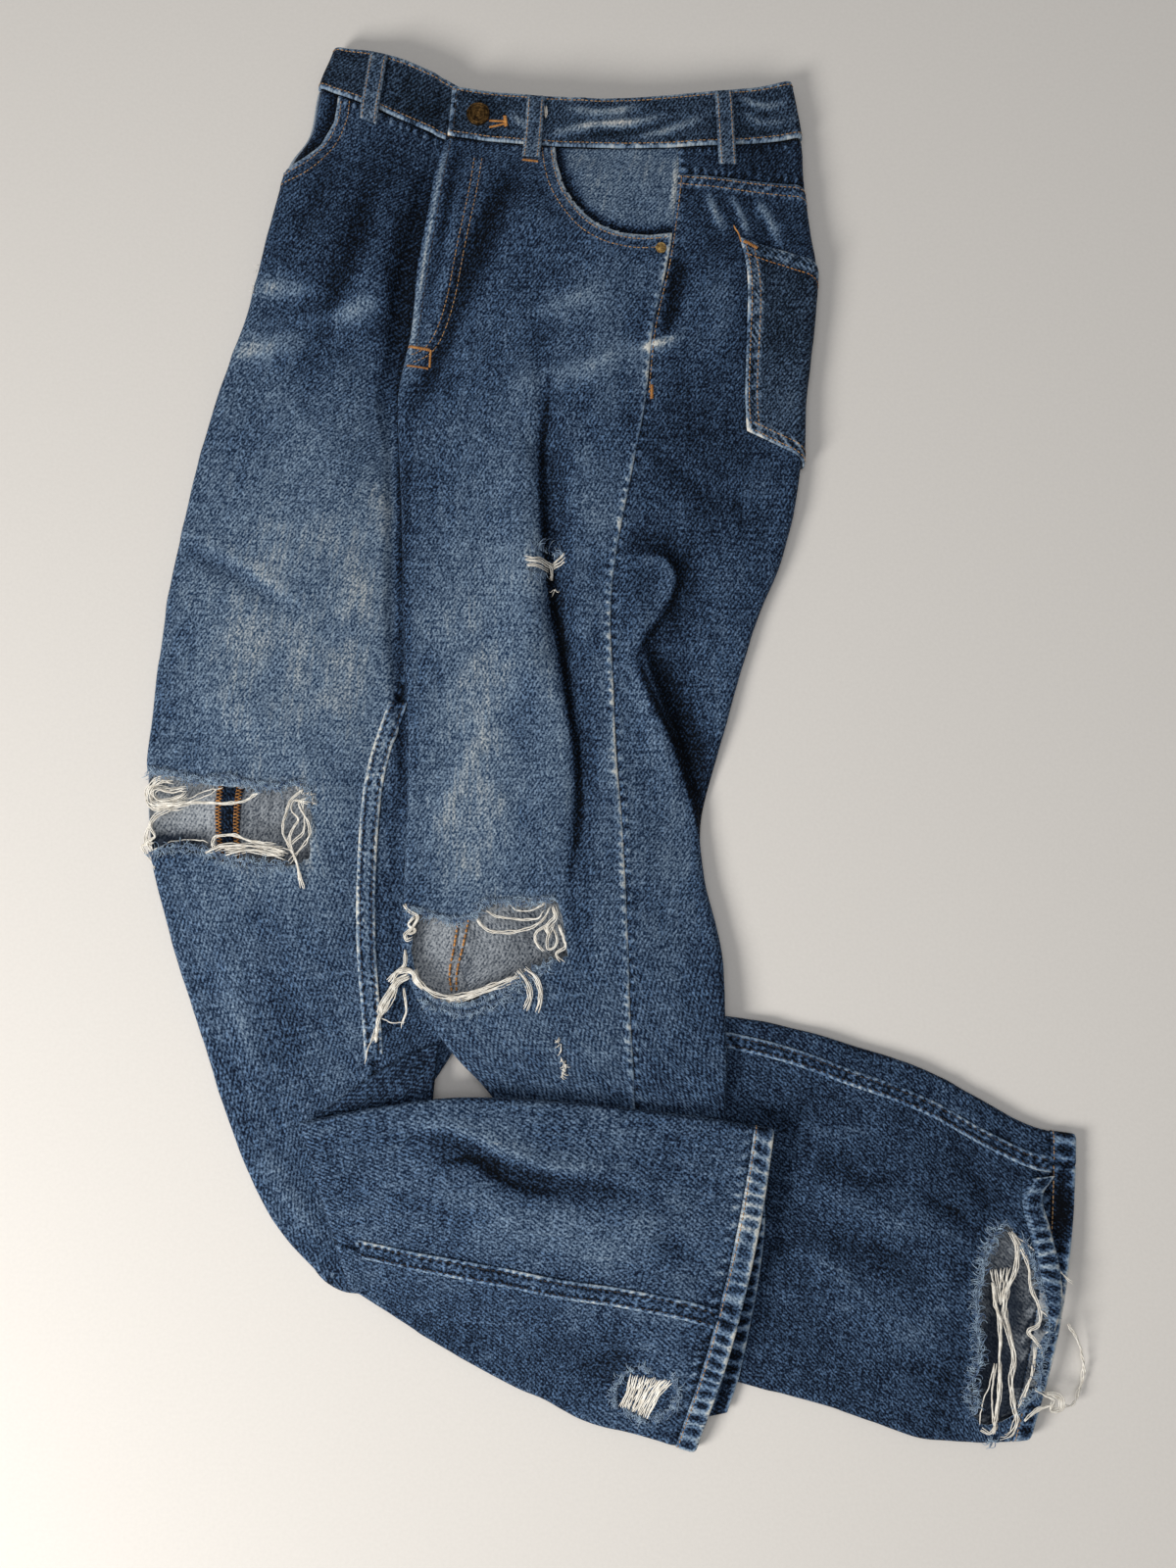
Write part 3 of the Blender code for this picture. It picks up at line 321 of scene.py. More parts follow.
def across(heights, t):
    """A height between five across the leg, level at both edges."""
    a, b, c, d, e = np.moveaxis(heights, -1, 0)
    knots = np.stack((b, a, b, c, d, e, d), -1)
    t = 4 * np.clip(t, 0.0, 1.0)
    i = np.minimum(t.astype(int), 3)
    picked = [np.take_along_axis(knots, (i + k)[..., None], -1)[..., 0] for k in range(4)]
    return cubic(*picked, t - i)


def read_column(table, y_column, column, y):
    """A column of a table, read at a y rather than at a row."""
    rows = table[::-1]
    return np.interp(y, rows[:, y_column], rows[:, column])


def unit(vectors):
    return vectors / np.linalg.norm(vectors, axis=-1, keepdims=True)


class Leg:
    """A flattened tube that closes smoothly over the first closed_start rows."""

    def __init__(self, name, table, closed_start=0.0, upright=1):
        self.name = name
        self.table = table
        self.closed_start = closed_start
        self.upright = upright  # -1 where the turns run against the rows, seen from above
        self.rows = np.linspace(0, len(table) - 1, 40 * len(table))
        middle = through((table[:, :RIGHT_X] + table[:, RIGHT_X:BOW]) / 2, self.rows)
        steps = np.hypot(*np.diff(middle, axis=0).T)
        self.lengths = np.concatenate(([0], np.cumsum(steps)))

    def along(self, v):
        """How far down the leg a row is, in millimetres."""
        return np.interp(v, self.rows, self.lengths)

    def section(self, v):
        """The row itself, its two outline points, its width and the radii of its two folds."""
        row = through(self.table, v)
        left, right = row[..., :RIGHT_X], row[..., RIGHT_X:BOW]
        width = np.hypot(*np.moveaxis(right - left, -1, 0))
        edge_left = (row[..., ABOVE_LEFT] - row[..., BELOW_LEFT]) / 2
        edge_right = (row[..., ABOVE_RIGHT] - row[..., BELOW_RIGHT]) / 2
        return row, left, right, width, edge_left, edge_right

    def width(self, v):
        return self.section(v)[3]

    def edges(self, v):
        """Radius of the round fold at the left outline, and at the right one."""
        return self.section(v)[4:6]

    def half_turn(self, v):
        """The turn at the right outline."""
        _, _, _, width, el, er = self.section(v)
        return math.pi * (el + er) / 2 + width - el - er

    def top(self, v, distance):
        """The turn of a point of the upper layer, this far in plan from the left outline."""
        el, _ = self.edges(v)
        return math.pi * el / 2 + distance - el

    def under_left(self, v, distance):
        return -self.top(v, distance)

    def under_right(self, v, distance):
        _, er = self.edges(v)
        return self.half_turn(v) + math.pi * er / 2 + distance - er

    def reach(self, v, x):
        """How far along its section the leg crosses the line at this x."""
        _, left, right, width, _, _ = self.section(v)
        return width * (x - left[..., 0]) / (right[..., 0] - left[..., 0])

    def top_height(self, row, t, x, y):
        return across(row[..., ABOVE], t) + fold_relief(x, y) * smooth(4 * t) * smooth(4 * (1 - t))

    def base_height(self, row, f):
        left, middle, right = row[..., BELOW_LEFT], row[..., BELOW_MIDDLE], row[..., BELOW_RIGHT]
        rising = left + (middle - left) * 2 * f
        rolling = right + (middle - right) * (1 - (2 * f - 1) ** 3)
        return np.where(f < 0.5, rising, rolling)

    def under_height(self, row, f, x, y, v, from_left):
        return self.base_height(row, f)

    def point(self, turn, v):
        """The place at the middle of the cloth's thickness, in millimetres."""
        turn, v = np.broadcast_arrays(np.asarray(turn, float), np.asarray(v, float))
        row, left, right, width, el, er = self.section(v)
        half = math.pi * (el + er) / 2 + width - el - er
        way = (right - left) / width[..., None]
        side = np.stack((-way[..., 1], way[..., 0]), -1)
        ql, qr = math.pi * el / 2, math.pi * er / 2
        round_left, round_right = np.abs(turn) < ql, np.abs(turn - half) < qr
        below_left, below_right = turn <= -ql, turn >= half + qr
        angle_l = turn / el
        angle_r = (half - turn) / er
        distance = np.select(
            [round_left, round_right, below_left, below_right],
            [el * (1 - np.cos(angle_l)), width - er * (1 - np.cos(angle_r)),
             el - turn - ql, width - er - (turn - half - qr)],
            el + turn - ql)
        f = distance / width
        bow = np.where((f > 0) & (f < 1), row[..., BOW] * 4 * f * (1 - f), 0.0)
        place = left + way * distance[..., None] + side * bow[..., None]
        x, y = place[..., 0], place[..., 1]
        above = self.top_height(row, (distance - el) / (width - el - er), x, y)
        below = self.under_height(row, f, x, y, v, turn < 0)
        z = np.select(
            [round_left, round_right, below_left | below_right],
            [row[..., BELOW_LEFT] + el * (1 + np.sin(angle_l)),
             row[..., BELOW_RIGHT] + er * (1 + np.sin(angle_r)), below],
            above)
        if self.closed_start:
            middle = self.base_height(row, f) + 3.0
            share = np.sqrt(np.maximum(0.0, 1 - (1 - np.minimum(1, v / self.closed_start)) ** 2))
            z = middle + (z - middle) * share
        return np.stack((x, y, z), -1)

    def normal(self, turn, v):
        """The way out of the cloth."""
        u = self.point(turn + 0.4, v) - self.point(turn - 0.4, v)
        last = len(self.table) - 1.0
        w = self.point(turn, np.minimum(last, v + 0.02)) - self.point(turn, np.maximum(0.0, v - 0.02))
        return unit(np.cross(w, u)) * self.upright


class LevelLeg(Leg):
    """Its under layer is level across each row."""

    def base_height(self, row, f):
        return row[..., BELOW_LEFT] + 0 * f


class RightLeg(LevelLeg):
    """It is pressed down where the left leg lies on it, and rises again beside it."""

    UNDER_LEFT = 2.5  # how far its middle lies below that of the cloth on it
    RISE = 0.7  # the slope beside the left leg

    def top_height(self, row, t, x, y):
        z = super().top_height(row, t, x, y)
        out = read_column(LEFT_LEG, LEFT_Y, LEFT_X, y) - x - TUCK
        pressed = read_column(LEFT_LEG, LEFT_Y, BELOW_LEFT, y) - self.UNDER_LEFT
        return np.minimum(z, pressed + self.RISE * np.maximum(0.0, out))


class LeftLeg(Leg):
    """Below the seat its under layer climbs over the right leg, in a step just outside that leg."""

    STEP_START, STEP_WIDTH = 45, 37

    def under_height(self, row, f, x, y, v, from_left):
        start = 20 * (1 - smooth((v - 9) / 3))  # where it lifts towards its right outline
        left, middle, right = row[..., BELOW_LEFT], row[..., BELOW_MIDDLE], row[..., BELOW_RIGHT]
        lift = middle + (right - middle) * smooth((x - start) / 45)
        over = OVER_RIGHT + (left - OVER_RIGHT) * smooth((v - 15) / 2)
        right_leg_ends = read_column(RIGHT_LEG, RIGHT_Y, RIGHT_X, y)
        step = smooth((right_leg_ends + self.STEP_START - x) / self.STEP_WIDTH) * smooth(v - SEAT_ROW)
        return np.where(from_left, left, lift + (over - CLOTH / 2) * step)


RIGHT = RightLeg("right", RIGHT_LEG)
LEFT = LeftLeg("left", LEFT_LEG)
CALF_R = Leg("calf_r", RIGHT_CALF, closed_start=0.12, upright=-1)
CALF_L = Leg("calf_l", LEFT_CALF, upright=-1)
FLAP = LevelLeg("flap", BEND_FLAP, upright=-1)
print("leg lengths in mm:", [round(leg.lengths[-1]) for leg in (RIGHT, LEFT, CALF_R, CALF_L)])

# %% [markdown]
# ## Folds, small waves and fading
# Three things shape worn cloth between its seams. Broad folds come from how it lies. Short creases
# come from wear. Small waves pucker the cloth where a thread holds it. The same shapes decide the
# colour: a raised place rubs pale and a hollow stays darker, and deep troughs, toppled folds and
# the edges where one leg lies on the other also get painted shade.

# %% Noise and folds
def hashed(i, j, seed):
    """A scattered number from -1 to 1 that is always the same for the same three."""
    h = (i * 374761393 + j * 668265263 + seed * 974634777) & 0xFFFFFFFF
    h = ((h ^ (h >> 13)) * 1274126177) & 0xFFFFFFFF
    return ((h ^ (h >> 16)) & 0xFFFF) / 32767.5 - 1


def noise(x, y, seed=0):
    """Smooth noise from -1 to 1 with features one unit wide."""
    x, y = np.broadcast_arrays(np.asarray(x, float), np.asarray(y, float))
    i, j = np.floor(x).astype(np.int64), np.floor(y).astype(np.int64)
    f, g = smooth(x - i), smooth(y - j)
    low = hashed(i, j, seed) * (1 - f) + hashed(i + 1, j, seed) * f
    high = hashed(i, j + 1, seed) * (1 - f) + hashed(i + 1, j + 1, seed) * f
    return low * (1 - g) + high * g


# From x and y, to x and y, half width and height: a ridge is above 0 and a trough below.
FOLDS = (
    (-46, 205, -36, 40, 11, -4.0),
    (-62, 190, -56, 20, 16, 3.0),
    (18, 118, 20, 52, 12, 3.5),
    (22, 45, 62, -80, 10, 4.0),
    (60, 60, 84, -20, 14, -2.5),
    (-95, 330, -125, 245, 14, 3.5),
    (-70, 360, 10, 330, 16, 2.5),
    (-225, 360, -150, 300, 18, 2.5),
    (-240, 300, -165, 255, 16, -2.0),
    (62, 300, 128, 300, 18, 2.0),
    (-95, -277, 70, -300, 12, -2.5),
    (-120, -320, 40, -345, 20, 2.0),
    (130, -300, 210, -340, 18, 1.5),
    (-285, 20, -215, -10, 16, 2.0),
)


FOLD_ENDS = 36  # mm over which a fold dies out


def fold_relief(x, y):
    """The height of the broad folds at every place."""
    total = 0.0
    for x0, y0, x1, y1, width, height in FOLDS:
        run_x, run_y = x1 - x0, y1 - y0
        length = math.hypot(run_x, run_y)
        along = ((x - x0) * run_x + (y - y0) * run_y) / length
        beside = ((x - x0) * run_y - (y - y0) * run_x) / length
        ends = smooth(0.5 + along / FOLD_ENDS) * smooth(0.5 + (length - along) / FOLD_ENDS)
        total = total + height * ends * np.exp(-((beside / width) ** 2))
    return total


def fine_line(points, pieces):
    """The smooth line through a few points, with this many pieces between each two."""
    return through(np.array(points, float), np.linspace(0, len(points) - 1, pieces * (len(points) - 1) + 1))


def beside_line(x, y, points):
    """For every place: the share along a smooth line, and how far beside it, right side above 0."""
    line = fine_line(points, 8)
    nearest = np.full(np.shape(x), 1e9)
    share = np.zeros_like(nearest)
    side = np.zeros_like(nearest)
    for i, (a, b) in enumerate(zip(line[:-1], line[1:])):
        run = b - a
        s = np.clip(((x - a[0]) * run[0] + (y - a[1]) * run[1]) / (run @ run), 0, 1)
        dx, dy = x - a[0] - s * run[0], y - a[1] - s * run[1]
        distance = np.hypot(dx, dy)
        closer = distance < nearest
        nearest = np.where(closer, distance, nearest)
        share = np.where(closer, (i + s) / (len(line) - 1), share)
        side = np.where(closer, dx * run[1] - dy * run[0], side)
    return share, np.where(side > 0, nearest, -nearest)


print("broad folds:", len(FOLDS))

# %% Creases
# Each crease lists its points, its half widths to the left and right of the way it runs, its height
# and its paling: above 0 the crest rubs pale, below 0 it is painted shade, and a line with no height
# is only a painted shadow line, as beside the legs' outlines and along toppled folds. Most run down
# the piece, so their left is towards +X. A fold that has toppled is a ridge with a trough close
# beside it.
CREASES = {
    "right": (
        (((-192, 416), (-208, 375), (-230, 332)), 8, 8, -1.6, -0.05),
        (((-169, 392), (-174, 361), (-196, 297), (-220, 248)), 10, 12, -2.8, -0.16),
        (((-150, 395), (-158, 340), (-176, 290)), 10, 12, 1.6, 0),
        (((-134, 380), (-143, 318), (-147, 272), (-147, 190)), 6, 13, -3, -0.2),
        (((-222, 284), (-186, 290), (-156, 298)), 9, 9, 1.4, 0.24),
        (((-258, 312), (-234, 310), (-196, 304)), 8, 7, 1.1, 0.22),
        (((-272, 262), (-244, 266), (-196, 270)), 9, 8, 1.2, 0.24),
        (((-299, 126), (-260, 103), (-218, 75)), 5, 8, -2, -0.08),
        (((-296, 134), (-258, 111), (-216, 84)), 8, 5, 1.2, 0.03),
        (((-240, -110), (-226, -180), (-214, -236)), 12, 14, -1.8, -0.03),
        (((-268, -150), (-252, -210), (-226, -262)), 10, 10, 1.3, 0.05),
        (((-236, -296), (-216, -330), (-190, -362)), 8, 6, 1.4, 0.05),
        (((-144, 262), (-145, 220), (-146, 160), (-146, 90)), 3, 4, 0, -0.9),
        (((-146, 130), (-146, 60), (-145, 0), (-143, -60)), 3, 4, 0, -0.5),
        (((-115, 412), (-121, 388), (-128, 351), (-135, 315), (-140, 280), (-144, 245)), 3, 5, 0, -0.4),
    ),
    "left": (
        (((-62, 283), (-54, 183), (-52, 130), (-49, 78), (-39, 26), (-30, -26), (-32, -66), (-36, -134)),
         7, 20, 2.8, 0.05),
        (((-52, 283), (-42, 183), (-40, 130), (-37, 78), (-27, 26), (-18, -26), (-20, -66), (-24, -134)),
         15, 3.5, -3.8, -0.1),
        (((-113, 420), (-119, 388), (-126, 351), (-132, 315), (-137, 280), (-141, 251)), 2.2, 2.2, 0.8, 0.42),
        (((-104, 412), (-110, 388), (-117, 351), (-124, 310)), 2.5, 2, -0.5, -0.2),
        (((-98, 408), (-103, 380), (-111, 340), (-118, 300), (-126, 270)), 2.4, 2.4, 0.4, 0.16),
        (((-91, 404), (-96, 378), (-103, 345)), 2.2, 2.2, 0.3, 0.14),
        (((-84, 400), (-88, 378), (-96, 345), (-104, 315)), 2.4, 2.4, 0.3, 0.1),
        (((-74, 372), (-98, 322), (-119, 270), (-143, 232)), 5, 14, 2, 0.06),
        (((-64, 396), (-86, 352), (-106, 306), (-123, 256), (-138, 222)), 9, 7, -2.9, -0.38),
        (((-140, 240), (-141, 183), (-142, 113), (-141, 43), (-139, -26)), 3, 3, 0, -0.2),
        (((-42, 418), (-13.5, 425.5), (15, 428), (43, 434)), 3, 4, 1.2, 0.5),
        (((52, 414), (49, 380), (47, 344)), 2.5, 2.2, 0.6, 0.4),
        (((-42, 412), (-12, 418), (16, 421), (46, 427)), 3, 3, -0.9, -0.15),
        (((-30, 438), (-4, 436), (28, 441)), 3, 4, 1, 0.4),
        (((20, 417), (45, 423), (70, 434)), 3, 3, 0.9, 0.36),
        (((-70, 438), (-64, 429), (-50, 424)), 3, 3, 0.8, 0.28),
        (((92, 452), (112, 446), (130, 449)), 3, 3, 0.9, 0.34),
        (((96, 440), (112, 433), (134, 436)), 3, 3, 0.8, 0.3),
        (((-50, 380), (-67, 338), (-91, 288), (-115, 245)), 14, 6, 1.9, 0.02),
        (((52, 332), (48, 300), (40, 268)), 5, 6, -2.6, -0.5),
        (((-56, 284), (-28, 294), (4, 306)), 9, 10, 1.2, 0.16),
        (((-60, 234), (-14, 248), (24, 264)), 8, 10, 1.2, 0.16),
        (((-75, 15), (-102, -43), (-135, -114)), 7, 7, 1.5, 0.06),
        (((70, 378), (76, 362), (84, 346)), 4, 3, 1.5, 0.4),
        (((87, 376), (95, 360), (102, 342)), 4, 3, 1.5, 0.36),
        (((106, 374), (116, 358), (124, 338)), 5, 3, 1.6, 0.34),
        (((-40, 240), (-44, 203), (-46, 170), (-44, 132), (-39, 91), (-32, 54), (-26, 9), (-20, -35),
          (-20, -75), (-27, -111)), 1.8, 2.6, 0, -1),
        (((25, 60), (37, 23), (47, -1), (56, -29), (64, -59), (70, -84)), 3, 3, 0, -0.5),
        (((14, 112), (28, 116), (40, 112), (47, 100), (43, 84), (31, 65), (20, 50), (16, 40)),
         4, 9, 2.4, 0.08),
        (((14, 122), (30, 124), (46, 118), (54, 100), (49, 82), (36, 64), (24, 48)), 12, 4, -2.8, -0.16),
        (((18, 114), (30, 118), (43, 113), (50, 100), (46, 84), (35, 66), (22, 48)), 1.8, 2.6, 0, -0.7),
        (((22, 40), (27, 26), (35, 8), (46, -14), (56, -43), (64, -71), (71, -96)), 1.8, 2.4, 0, -0.9),
        (((30, 190), (55, 171), (79, 152)), 7, 8, -1.6, -0.08),
        (((71, 185), (91, 154), (107, 129)), 6, 9, -1.6, -0.08),
        (((-120, 22), (-100, 46), (-76, 71)), 6, 8, -1.3, -0.05),
        (((-119, -35), (-99, -11), (-75, 5)), 6, 8, -1.3, -0.05),
        (((29, 60), (39, 23), (49, -1), (58, -29), (66, -59), (74, -100)), 15, 5, -5.2, -0.32),
        (((13, 54), (23, 22), (33, -4), (42, -31), (50, -60)), 6, 14, 1.6, 0.06),
        (((42, 182), (90, 163), (124, 168)), 10, 10, 1.2, 0.06),
        (((96, 325), (103, 253), (107, 204)), 3, 7, -1.2, -0.1),
        (((22, 260), (36, 265), (52, 271)), 4, 4, 1.6, 0.5),
    ),
    "calf_r": (
        (((-139, -284), (-99, -289), (-72, -303), (-40, -313), (0, -317), (32, -326)), 6, 11, -3, -0.2),
        (((-139, -276), (-99, -280), (-70, -293), (-38, -303), (2, -307)), 9, 4, 2, 0.1),
        (((-110, -301), (-99, -299), (-86, -300), (-71, -311), (-53, -318), (-30, -321)), 2, 3, -0.8, -0.5),
        (((-112, -330), (-60, -348), (10, -352), (60, -340)), 18, 16, 1.2, 0.04),
        (((-60, -420), (0, -440), (30, -470)), 14, 14, -1.4, -0.05),
        (((-16, -441), (8, -429), (38, -435)), 5, 8, -1.2, -0.05),
        (((-141, -328), (-111, -335), (-75, -335)), 5, 8, -1.3, -0.06),
        (((26, -340), (50, -357), (67, -383)), 5, 8, -1.3, -0.06),
    ),
    "calf_l": (
        (((241, -290), (254, -320), (266, -346)), 8, 8, -2.4, -0.1),
        (((120, -310), (150, -332), (200, -345), (240, -350)), 14, 10, 1.6, 0.03),
        (((126, -330), (160, -356), (205, -372)), 10, 12, -1.6, -0.05),
        (((150, -400), (200, -415), (240, -400)), 12, 10, 1.3, 0.03),
        (((84, -392), (104, -372), (130, -350)), 10, 10, -1.4, -0.06),
        (((148, -304), (178, -314), (209, -310)), 5, 8, -1.5, -0.07),
        (((123, -360), (153, -375), (183, -403)), 5, 8, 1.5, 0.05),
        (((208, -316), (235, -338), (259, -356)), 5, 8, -1.7, -0.1),
        (((176, -443), (206, -438), (242, -447)), 5, 8, -1.3, -0.06),
        (((124, -271), (148, -283), (179, -283)), 5, 8, 1.2, 0.04),
    ),
    "flap": (),
}


def crease_relief(leg_name, x, y):
    """Height and paling that the creases of a leg give at every place: rubbed paling above 0, painted shade
    below 0.
    """
    height = np.zeros(np.shape(x))
    paling_and_shade = np.zeros(np.shape(x))
    for points, left, right, rise, pale_or_shade in CREASES[leg_name]:
        reach = 3 * max(left, right)
        xs, ys = zip(*points)
        near = (x > min(xs) - reach) & (x < max(xs) + reach)
        near &= (y > min(ys) - reach) & (y < max(ys) + reach)
        if not near.any():
            continue
        share, beside = beside_line(x[near], y[near], points)
        width = np.where(beside > 0, right, left)
        shape = np.exp(-((beside / width) ** 2)) * np.sin(math.pi * np.clip(share, 0.02, 0.98)) ** 0.6
        height[near] += rise * shape
        paling_and_shade[near] += pale_or_shade * shape
    return height, paling_and_shade


print("creases:", {name: len(lines) for name, lines in CREASES.items()})

# %% [markdown]
# ## Seam edges
# Each edge of a panel has a kind. A lapped edge is folded under and lies on its neighbour, so it is
# raised as far as the turned cloth reaches. A butted edge dips into the seam. Butted edges, edges
# that go under, the top of a hem and the groove of a felled seam get a band of painted shade. A hem
# twists a little as it is sewn, which leaves the slanting pale and dark patches that old jeans show.

# %% Edge kinds
# name: rise, reach, dip at the edge, pale line, wave height, wave length, slant, stitch line, painted shade
# at the edge
EDGE_KINDS = {
    "lap": (0.6, 11.0, 0.5, 1.0, 0.35, 6.5, 0.5, 8.5, 0.0),
    "lap_narrow": (0.7, 4.0, 0.3, 0.75, 0.3, 8.0, 0.2, 0, 0.0),
    "under": (0.0, 6.0, 1.2, 0.0, 0.25, 7.0, 0.0, 0, 0.35),
    "butt": (0.35, 4.5, 1.2, 0.1, 0.25, 9.0, 0.3, 0, 0.3),
    "band": (0.2, 3.0, 0.3, 0.85, 0.3, 8.0, 0.5, 0, 0.0),
    "fell": (0.0, 5.0, 0.2, 0.65, 0.35, 6.0, 0.6, 0, 0.45),
    "hem": (0.0, 12.0, 0.4, 1.15, 0.34, 9.0, 0.12, 12.0, 0.0),
    "hem_top": (0.0, 6.0, 0.5, 0.1, 0.22, 9.0, -0.5, 0, 0.25),
    "plain": (0.0, 1.0, 0.0, 0.0, 0.0, 5.0, 0.0, 0, 0.0),
}
print("kinds of edge:", *EDGE_KINDS)


def edge_relief(kind, beside, along, seed):
    """Height, wear and shade near one edge of a panel."""
    rise, reach, dip, line, wave, length, slant, stitch, dark = EDGE_KINDS[kind]
    near = smooth((1.2 * reach - beside) / (0.4 * reach)) * smooth(0.3 + beside / 2)
    turns = (along + slant * beside) / length + 0.5 * noise(along / (2 * length), beside / 30, seed)
    strength = 0.65 + 0.5 * noise(along / (3.1 * length), 0, seed + 1)
    waves = np.cos(2 * math.pi * turns) * strength
    height = rise * smooth((reach - beside) / 2 + 0.5) - dip * np.exp(-((beside / 1.1) ** 2))
    height = height + wave * waves * near
    broken = 0.75 + 0.4 * noise(along / 10, 0, seed + 3)
    wear = line * broken * np.exp(-((beside / 1.7) ** 2)) + 1.7 * wave * smooth(2 * waves - 0.3) * near
    if stitch:
        wear = wear + 0.5 * line * broken * np.exp(-(((beside - stitch) / 1.6) ** 2))
        height = height - 0.35 * np.exp(-(((beside - stitch) / 1.2) ** 2))
    shade = -0.8 * wave * smooth(-2 * waves) * near
    # Painted shade: a dark band beside the edge, or in a felled seam's stitch groove.
    middle, spread = (3.0, 1.2) if kind == "fell" else (0.0, 2.2)
    shade = shade - dark * np.exp(-(((beside - middle) / spread) ** 2))
    return height, wear, shade


# %% [markdown]
# ## Fading and painted shade
# Denim starts dark all over. Sun, washing and sitting bleach the thighs, the knees and the tops of
# the folds. Each entry is a soft oval: its middle, its half sizes, its tilt and how much it bleaches.
# An amount below 0 darkens the place, and the long dark oval beside the right leg's fly is painted
# shade of a fold.

# %% Table of fading and painted shade
FADE_AND_SHADE = {
    "right": (
        (-224, 50, 74, 160, 0, 0.32), (-228, -110, 60, 40, 0, 0.07), (-266, -128, 44, 26, 0, 0.05),
        (-172, 395, 60, 60, 0, -0.2), (-130, 310, 24, 100, 0, -0.3), (-205, 300, 40, 60, 0, -0.17),
        (-230, -250, 60, 80, 0, -0.02), (-165, 60, 22, 120, 0, 0.14), (-150, 155, 20, 50, 0, 0.12),
    ),
    "left": (
        (-92, 10, 38, 140, 0, 0.4), (-85, -95, 52, 44, 0, 0.1), (-8, 150, 26, 60, 0, 0.16),
        (-22, 30, 9, 60, 0, 0.14), (0, -60, 20, 90, 0, 0.12), (0, -150, 16, 46, 0, 0.1),
        (-50, -210, 50, 40, 0, 0.14), (-88, 340, 36, 70, 0, -0.17), (100, 360, 60, 60, 0, -0.14),
        (40, -130, 24, 90, 0, 0.2), (70, 180, 40, 50, 0, -0.15), (72, 300, 22, 34, 0, 0.12),
        (0, 285, 60, 40, 0, 0.05), (-10, 236, 50, 24, 14, 0.05), (40, 386, 18, 22, 0, 0.12),
        (124, 212, 20, 24, 0, 0.14), (76, -20, 30, 110, 0, 0.1), (4, -10, 18, 90, 0, 0.1),
    ),
    "calf_r": (
        (92, -330, 9, 34, 0, 0.22), (66, -420, 9, 30, 0, -0.25),
        (-60, -330, 110, 50, -8, 0.09), (-80, -420, 90, 40, -12, -0.14),
    ),
    "calf_l": ((180, -350, 80, 70, 0, 0.03), (125, -300, 50, 30, 0, -0.12)),
    "flap": (),
}

# Painted shade on single pieces: deep inside the rips and under the curled hem.
SHADED = {
    "back_right": ((-300, -86, 20, 9, 0, -0.6), (-286, -70, 3.5, 30, 0, -0.3)),
    "back_left": ((-124, -182, 20, 15, 0, -0.6), (-80, -160, 50, 36, 0, -0.16)),
    "front_left_calf": ((262, -452, 16, 28, 0, -0.9), (270, -395, 10, 20, 0, -0.4)),
    "hem_left_front": ((262, -452, 16, 28, 0, -0.9),),
    "hem_left_back": ((306, -338, 6, 18, 0, -0.9), (314, -334, 8, 16, 0, -0.25)),
    "back_left_calf": ((262, -464, 10, 9, 0, -0.9),),
    "front_right": ((-308, -87, 24, 8, 0, -0.8),),
}


def ovals(table, x, y):
    """What a table of soft ovals adds at every place."""
    total = np.zeros(np.shape(x))
    for x0, y0, rx, ry, tilt, amount in table:
        c, s = math.cos(math.radians(tilt)), math.sin(math.radians(tilt))
        u, v = (x - x0) * c + (y - y0) * s, (y - y0) * c - (x - x0) * s
        total = total + amount * np.exp(-((u / rx) ** 2) - (v / ry) ** 2)
    return total


print("ovals:", sum(map(len, FADE_AND_SHADE.values())), "pieces shaded:", len(SHADED))

# %% [markdown]
# ## Denim
# Denim is a right-hand twill: blue warp yarns run down the leg and float over white weft yarns, and
# each row of floats steps sideways, which draws fine slanting lines. Only the outside of the warp is
# dyed, so rubbed yarns turn pale. The wrong side shows mostly weft and looks grey. The waistband, the
# loops and the back pocket have washed a little paler. Colours follow two values painted on each
# piece: the first is the bleaching of a broad place together with painted shade in hollows, beside
# seams and inside openings, and wear is rubbing along an edge or a fold.

# %% Denim materials
TWILL_PITCH = 2.4  # mm between twill lines: real ones are 1.25, drawn as coarse as they need to show
TWILL_TURN = math.radians(34)  # the lines' slant from the warp
WAVE_RADIANS = 20  # what the wave texture turns in each unit of length at scale 1


